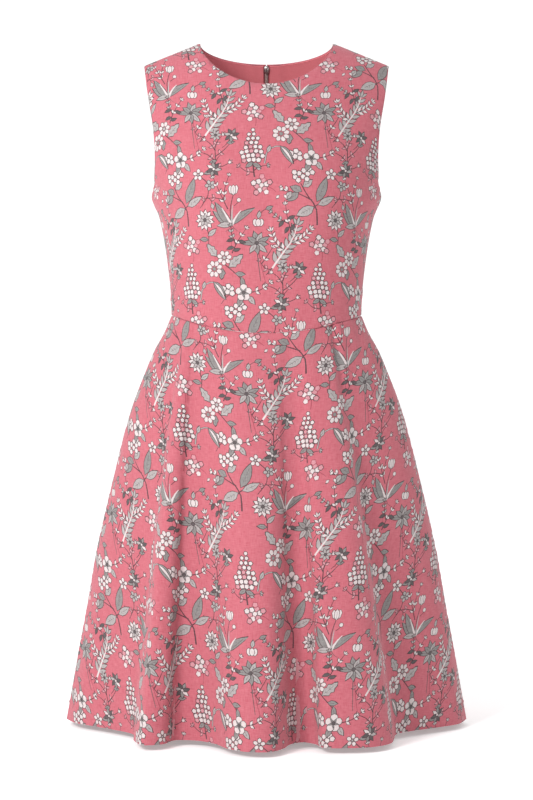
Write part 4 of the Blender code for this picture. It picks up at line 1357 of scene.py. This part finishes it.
zip_coil, coil_tree, coil_shader = new_material("zip coil", 0.38, 0.0)
place = add(coil_tree, "TexCoord").outputs["Object"]
grain = add(coil_tree, "TexNoise", Vector=place, Scale=900.0, Detail=3.0).outputs["Fac"]
mottled = mixed(coil_tree, "MIX", grain, (*(0.8 * COIL_GREY), 1), (*(1.25 * COIL_GREY), 1))
coil_tree.links.new(mottled, coil_shader.inputs["Base Color"])
coil_bump = add(coil_tree, "Bump", Strength=0.4, Distance=0.00003, Height=grain)
coil_tree.links.new(coil_bump.outputs[0], coil_shader.inputs["Normal"])
coil_shader.inputs["Specular IOR Level"].default_value = 0.5

strip = centre_strip(np.array([-0.001, 0, 0.001]))
zip_line = strip[::-1, 1]
zip_off = outward(strip, "back")[::-1, 1]
run = np.insert(np.cumsum(np.linalg.norm(np.diff(zip_line, axis=0), axis=1)), 0, 0)


def down_zip(distance, values):
    """Values of the zip's line at distances down from the neck, straight between its points."""
    return np.stack([np.interp(distance, run, values[:, axis]) for axis in range(3)], axis=-1)


sides, bands = 8, 4
around, tilt = np.meshgrid(np.arange(sides) * 2 * np.pi / sides, np.linspace(-0.5, 0.5, bands + 1) * np.pi)
ball = np.stack([np.cos(around) * np.cos(tilt), np.sin(around) * np.cos(tilt), np.sin(tilt)], axis=-1)
band, side = np.divmod(np.arange(bands * sides), sides)
after = (side + 1) % sides
cells = np.stack([side, after, sides + after, sides + side], axis=1) + sides * band[:, None]
down = np.arange(SLIDER_FOOT, run[-1] - PITCH, PITCH / 2)
centre = down_zip(down, zip_line) - down_zip(down, zip_off) * COIL_DEPTH
centre[:, 0] += TOOTH_ASIDE * (-1.0) ** np.arange(len(down))
along = down_zip(down + BESIDE, zip_line) - down_zip(down - BESIDE, zip_line)
along = along / np.linalg.norm(along, axis=1, keepdims=True)
across = np.broadcast_to([1.0, 0, 0], along.shape)
frames = np.stack([across, along, np.cross(across, along)], axis=1)
teeth = centre[:, None] + (ball.reshape(-1, 3) * TOOTH) @ frames
faces = (cells[None] + sides * (bands + 1) * np.arange(len(down))[:, None, None]).reshape(-1, 4)
coil_mesh = bpy.data.meshes.new("coil_teeth")
coil_mesh.from_pydata(teeth.reshape(-1, 3).tolist(), [], faces.tolist())
coil_mesh.validate()
coil_mesh.shade_smooth()
coil_mesh.materials.append(zip_coil)
coil = placed("coil_teeth", coil_mesh)
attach(coil, "dress")
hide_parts("zip_coil")


# The slider is cast metal, plated a dull grey: it clasps the coil inside the cloth, and its
# bridge stands outside the slit.
BRUSHED = (9000, 700, 700)
DARK_PLATE = (0.42, 0.41, 0.40, 1)
PALE_PLATE = (0.66, 0.64, 0.62, 1)
SHARP_EDGE = math.radians(30)

zip_metal, metal_tree, metal_shader = new_material("zip metal", 0.34, 0.0, 1.0)
place = add(metal_tree, "TexCoord").outputs["Object"]
worn_away = add(metal_tree, "TexNoise", Vector=place, Scale=450.0, Detail=4.0).outputs["Fac"]
brushed = add(metal_tree, "Mapping", Vector=place, Scale=BRUSHED).outputs[0]
scratches = add(metal_tree, "TexNoise", Vector=brushed, Scale=1.0, Detail=2.0).outputs["Fac"]
plated = mixed(metal_tree, "MIX", worn_away, DARK_PLATE, PALE_PLATE)
metal_tree.links.new(plated, metal_shader.inputs["Base Color"])
dulled = add(metal_tree, "MapRange", Value=worn_away, From_Min=0.3, From_Max=0.7)
dulled.inputs["To Min"].default_value = 0.26
dulled.inputs["To Max"].default_value = 0.46
metal_tree.links.new(dulled.outputs[0], metal_shader.inputs["Roughness"])
scored = add(metal_tree, "Bump", Strength=0.3, Distance=0.00002, Height=scratches)
metal_tree.links.new(scored.outputs[0], metal_shader.inputs["Normal"])


def softened(name, node, body, width):
    """A metal piece on its CAD solid's form, with every sharp edge rounded by a bevel of the
    width given, declared in place of that solid."""
    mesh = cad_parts[node].data.copy()
    work = bmesh.new()
    work.from_mesh(mesh)
    bmesh.ops.remove_doubles(work, verts=work.verts, dist=1e-6)
    bmesh.ops.dissolve_limit(work, angle_limit=math.radians(2), verts=work.verts, edges=work.edges)
    sharp = [edge for edge in work.edges if edge.calc_face_angle(0) > SHARP_EDGE]
    bmesh.ops.bevel(work, geom=sharp, offset=width, segments=2, affect="EDGES", clamp_overlap=True)
    bmesh.ops.triangulate(work, faces=work.faces)
    work.to_mesh(mesh)
    work.free()
    mesh.shade_smooth()
    mesh.set_sharp_from_angle(angle=math.radians(40))
    mesh.materials.clear()
    mesh.materials.append(zip_metal)
    made = placed(name, mesh)
    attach(made, body)
    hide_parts(node)


softened("cast_slider", "zip_slider", "dress", 0.00022)


# The pull tab is a stamped metal plate that swings on the slider's bridge.
softened("stamped_pull_tab", "zip_pull_tab", "pull_tab", 0.00020)


# A wide pale floor just under the hem, soft light from the upper left, and the camera.
FLOOR_Z = cad_box[0][2] - 0.008
FLOOR_REACH = 14.0
SKY_DARK = 0.56
SKY_BRIGHT = 1.12
CAMERA_PLACE = Vector((0, -3.0, -0.40))
CAMERA_TARGET = Vector((0, 0, -0.492))
CAMERA_LENS = 97.4
SENSOR_HEIGHT = 36

floor_mesh = bpy.data.meshes.new("floor")
corners = [(x * FLOOR_REACH, y * FLOOR_REACH, FLOOR_Z) for x, y in ((-1, -1), (1, -1), (1, 1), (-1, 1))]
floor_mesh.from_pydata(corners, [], [(0, 1, 2, 3)])
floor = placed("floor", floor_mesh)
white, _, white_shader = new_material("white floor", 0.9, 0.0)
white_shader.inputs["Base Color"].default_value = (0.92, 0.92, 0.92, 1)
white_shader.inputs["Emission Color"].default_value = (1, 1, 1, 1)
white_shader.inputs["Emission Strength"].default_value = 0.30
floor_mesh.materials.append(white)

world = bpy.data.worlds.new("Studio")
world.use_nodes = True
sky = world.node_tree
way = add(sky, "SeparateXYZ", Vector=add(sky, "TexCoord").outputs["Generated"])
glow = add(sky, "MapRange", Value=way.outputs["Y"], From_Min=-0.3, From_Max=0.5)
glow.inputs["To Min"].default_value = SKY_DARK
glow.inputs["To Max"].default_value = SKY_BRIGHT
sky.links.new(glow.outputs[0], sky.nodes["Background"].inputs["Strength"])
sky.nodes["Background"].inputs["Color"].default_value = (1, 1, 1, 1)
bpy.context.scene.world = world
bpy.context.scene.view_settings.view_transform = "Standard"


def add_light(name, place, target, size, watts):
    """A square lamp that shines from its place to its target."""
    light = bpy.data.lights.new(name, "AREA")
    light.size = size
    light.energy = watts
    made = placed(name, light)
    made.location = place
    made.rotation_euler = (Vector(target) - Vector(place)).to_track_quat("-Z", "Y").to_euler()


add_light("Key", (-1.7, -2.4, 1.0), (0, 0, -0.5), 0.9, 85)

camera = bpy.data.cameras.new("Camera")
camera.sensor_fit = "VERTICAL"
camera.sensor_height = SENSOR_HEIGHT
camera.lens = CAMERA_LENS
camera_object = placed("Camera", camera)
camera_object.location = CAMERA_PLACE
camera_object.rotation_euler = (CAMERA_TARGET - CAMERA_PLACE).to_track_quat("-Z", "Y").to_euler()
bpy.context.scene.camera = camera_object
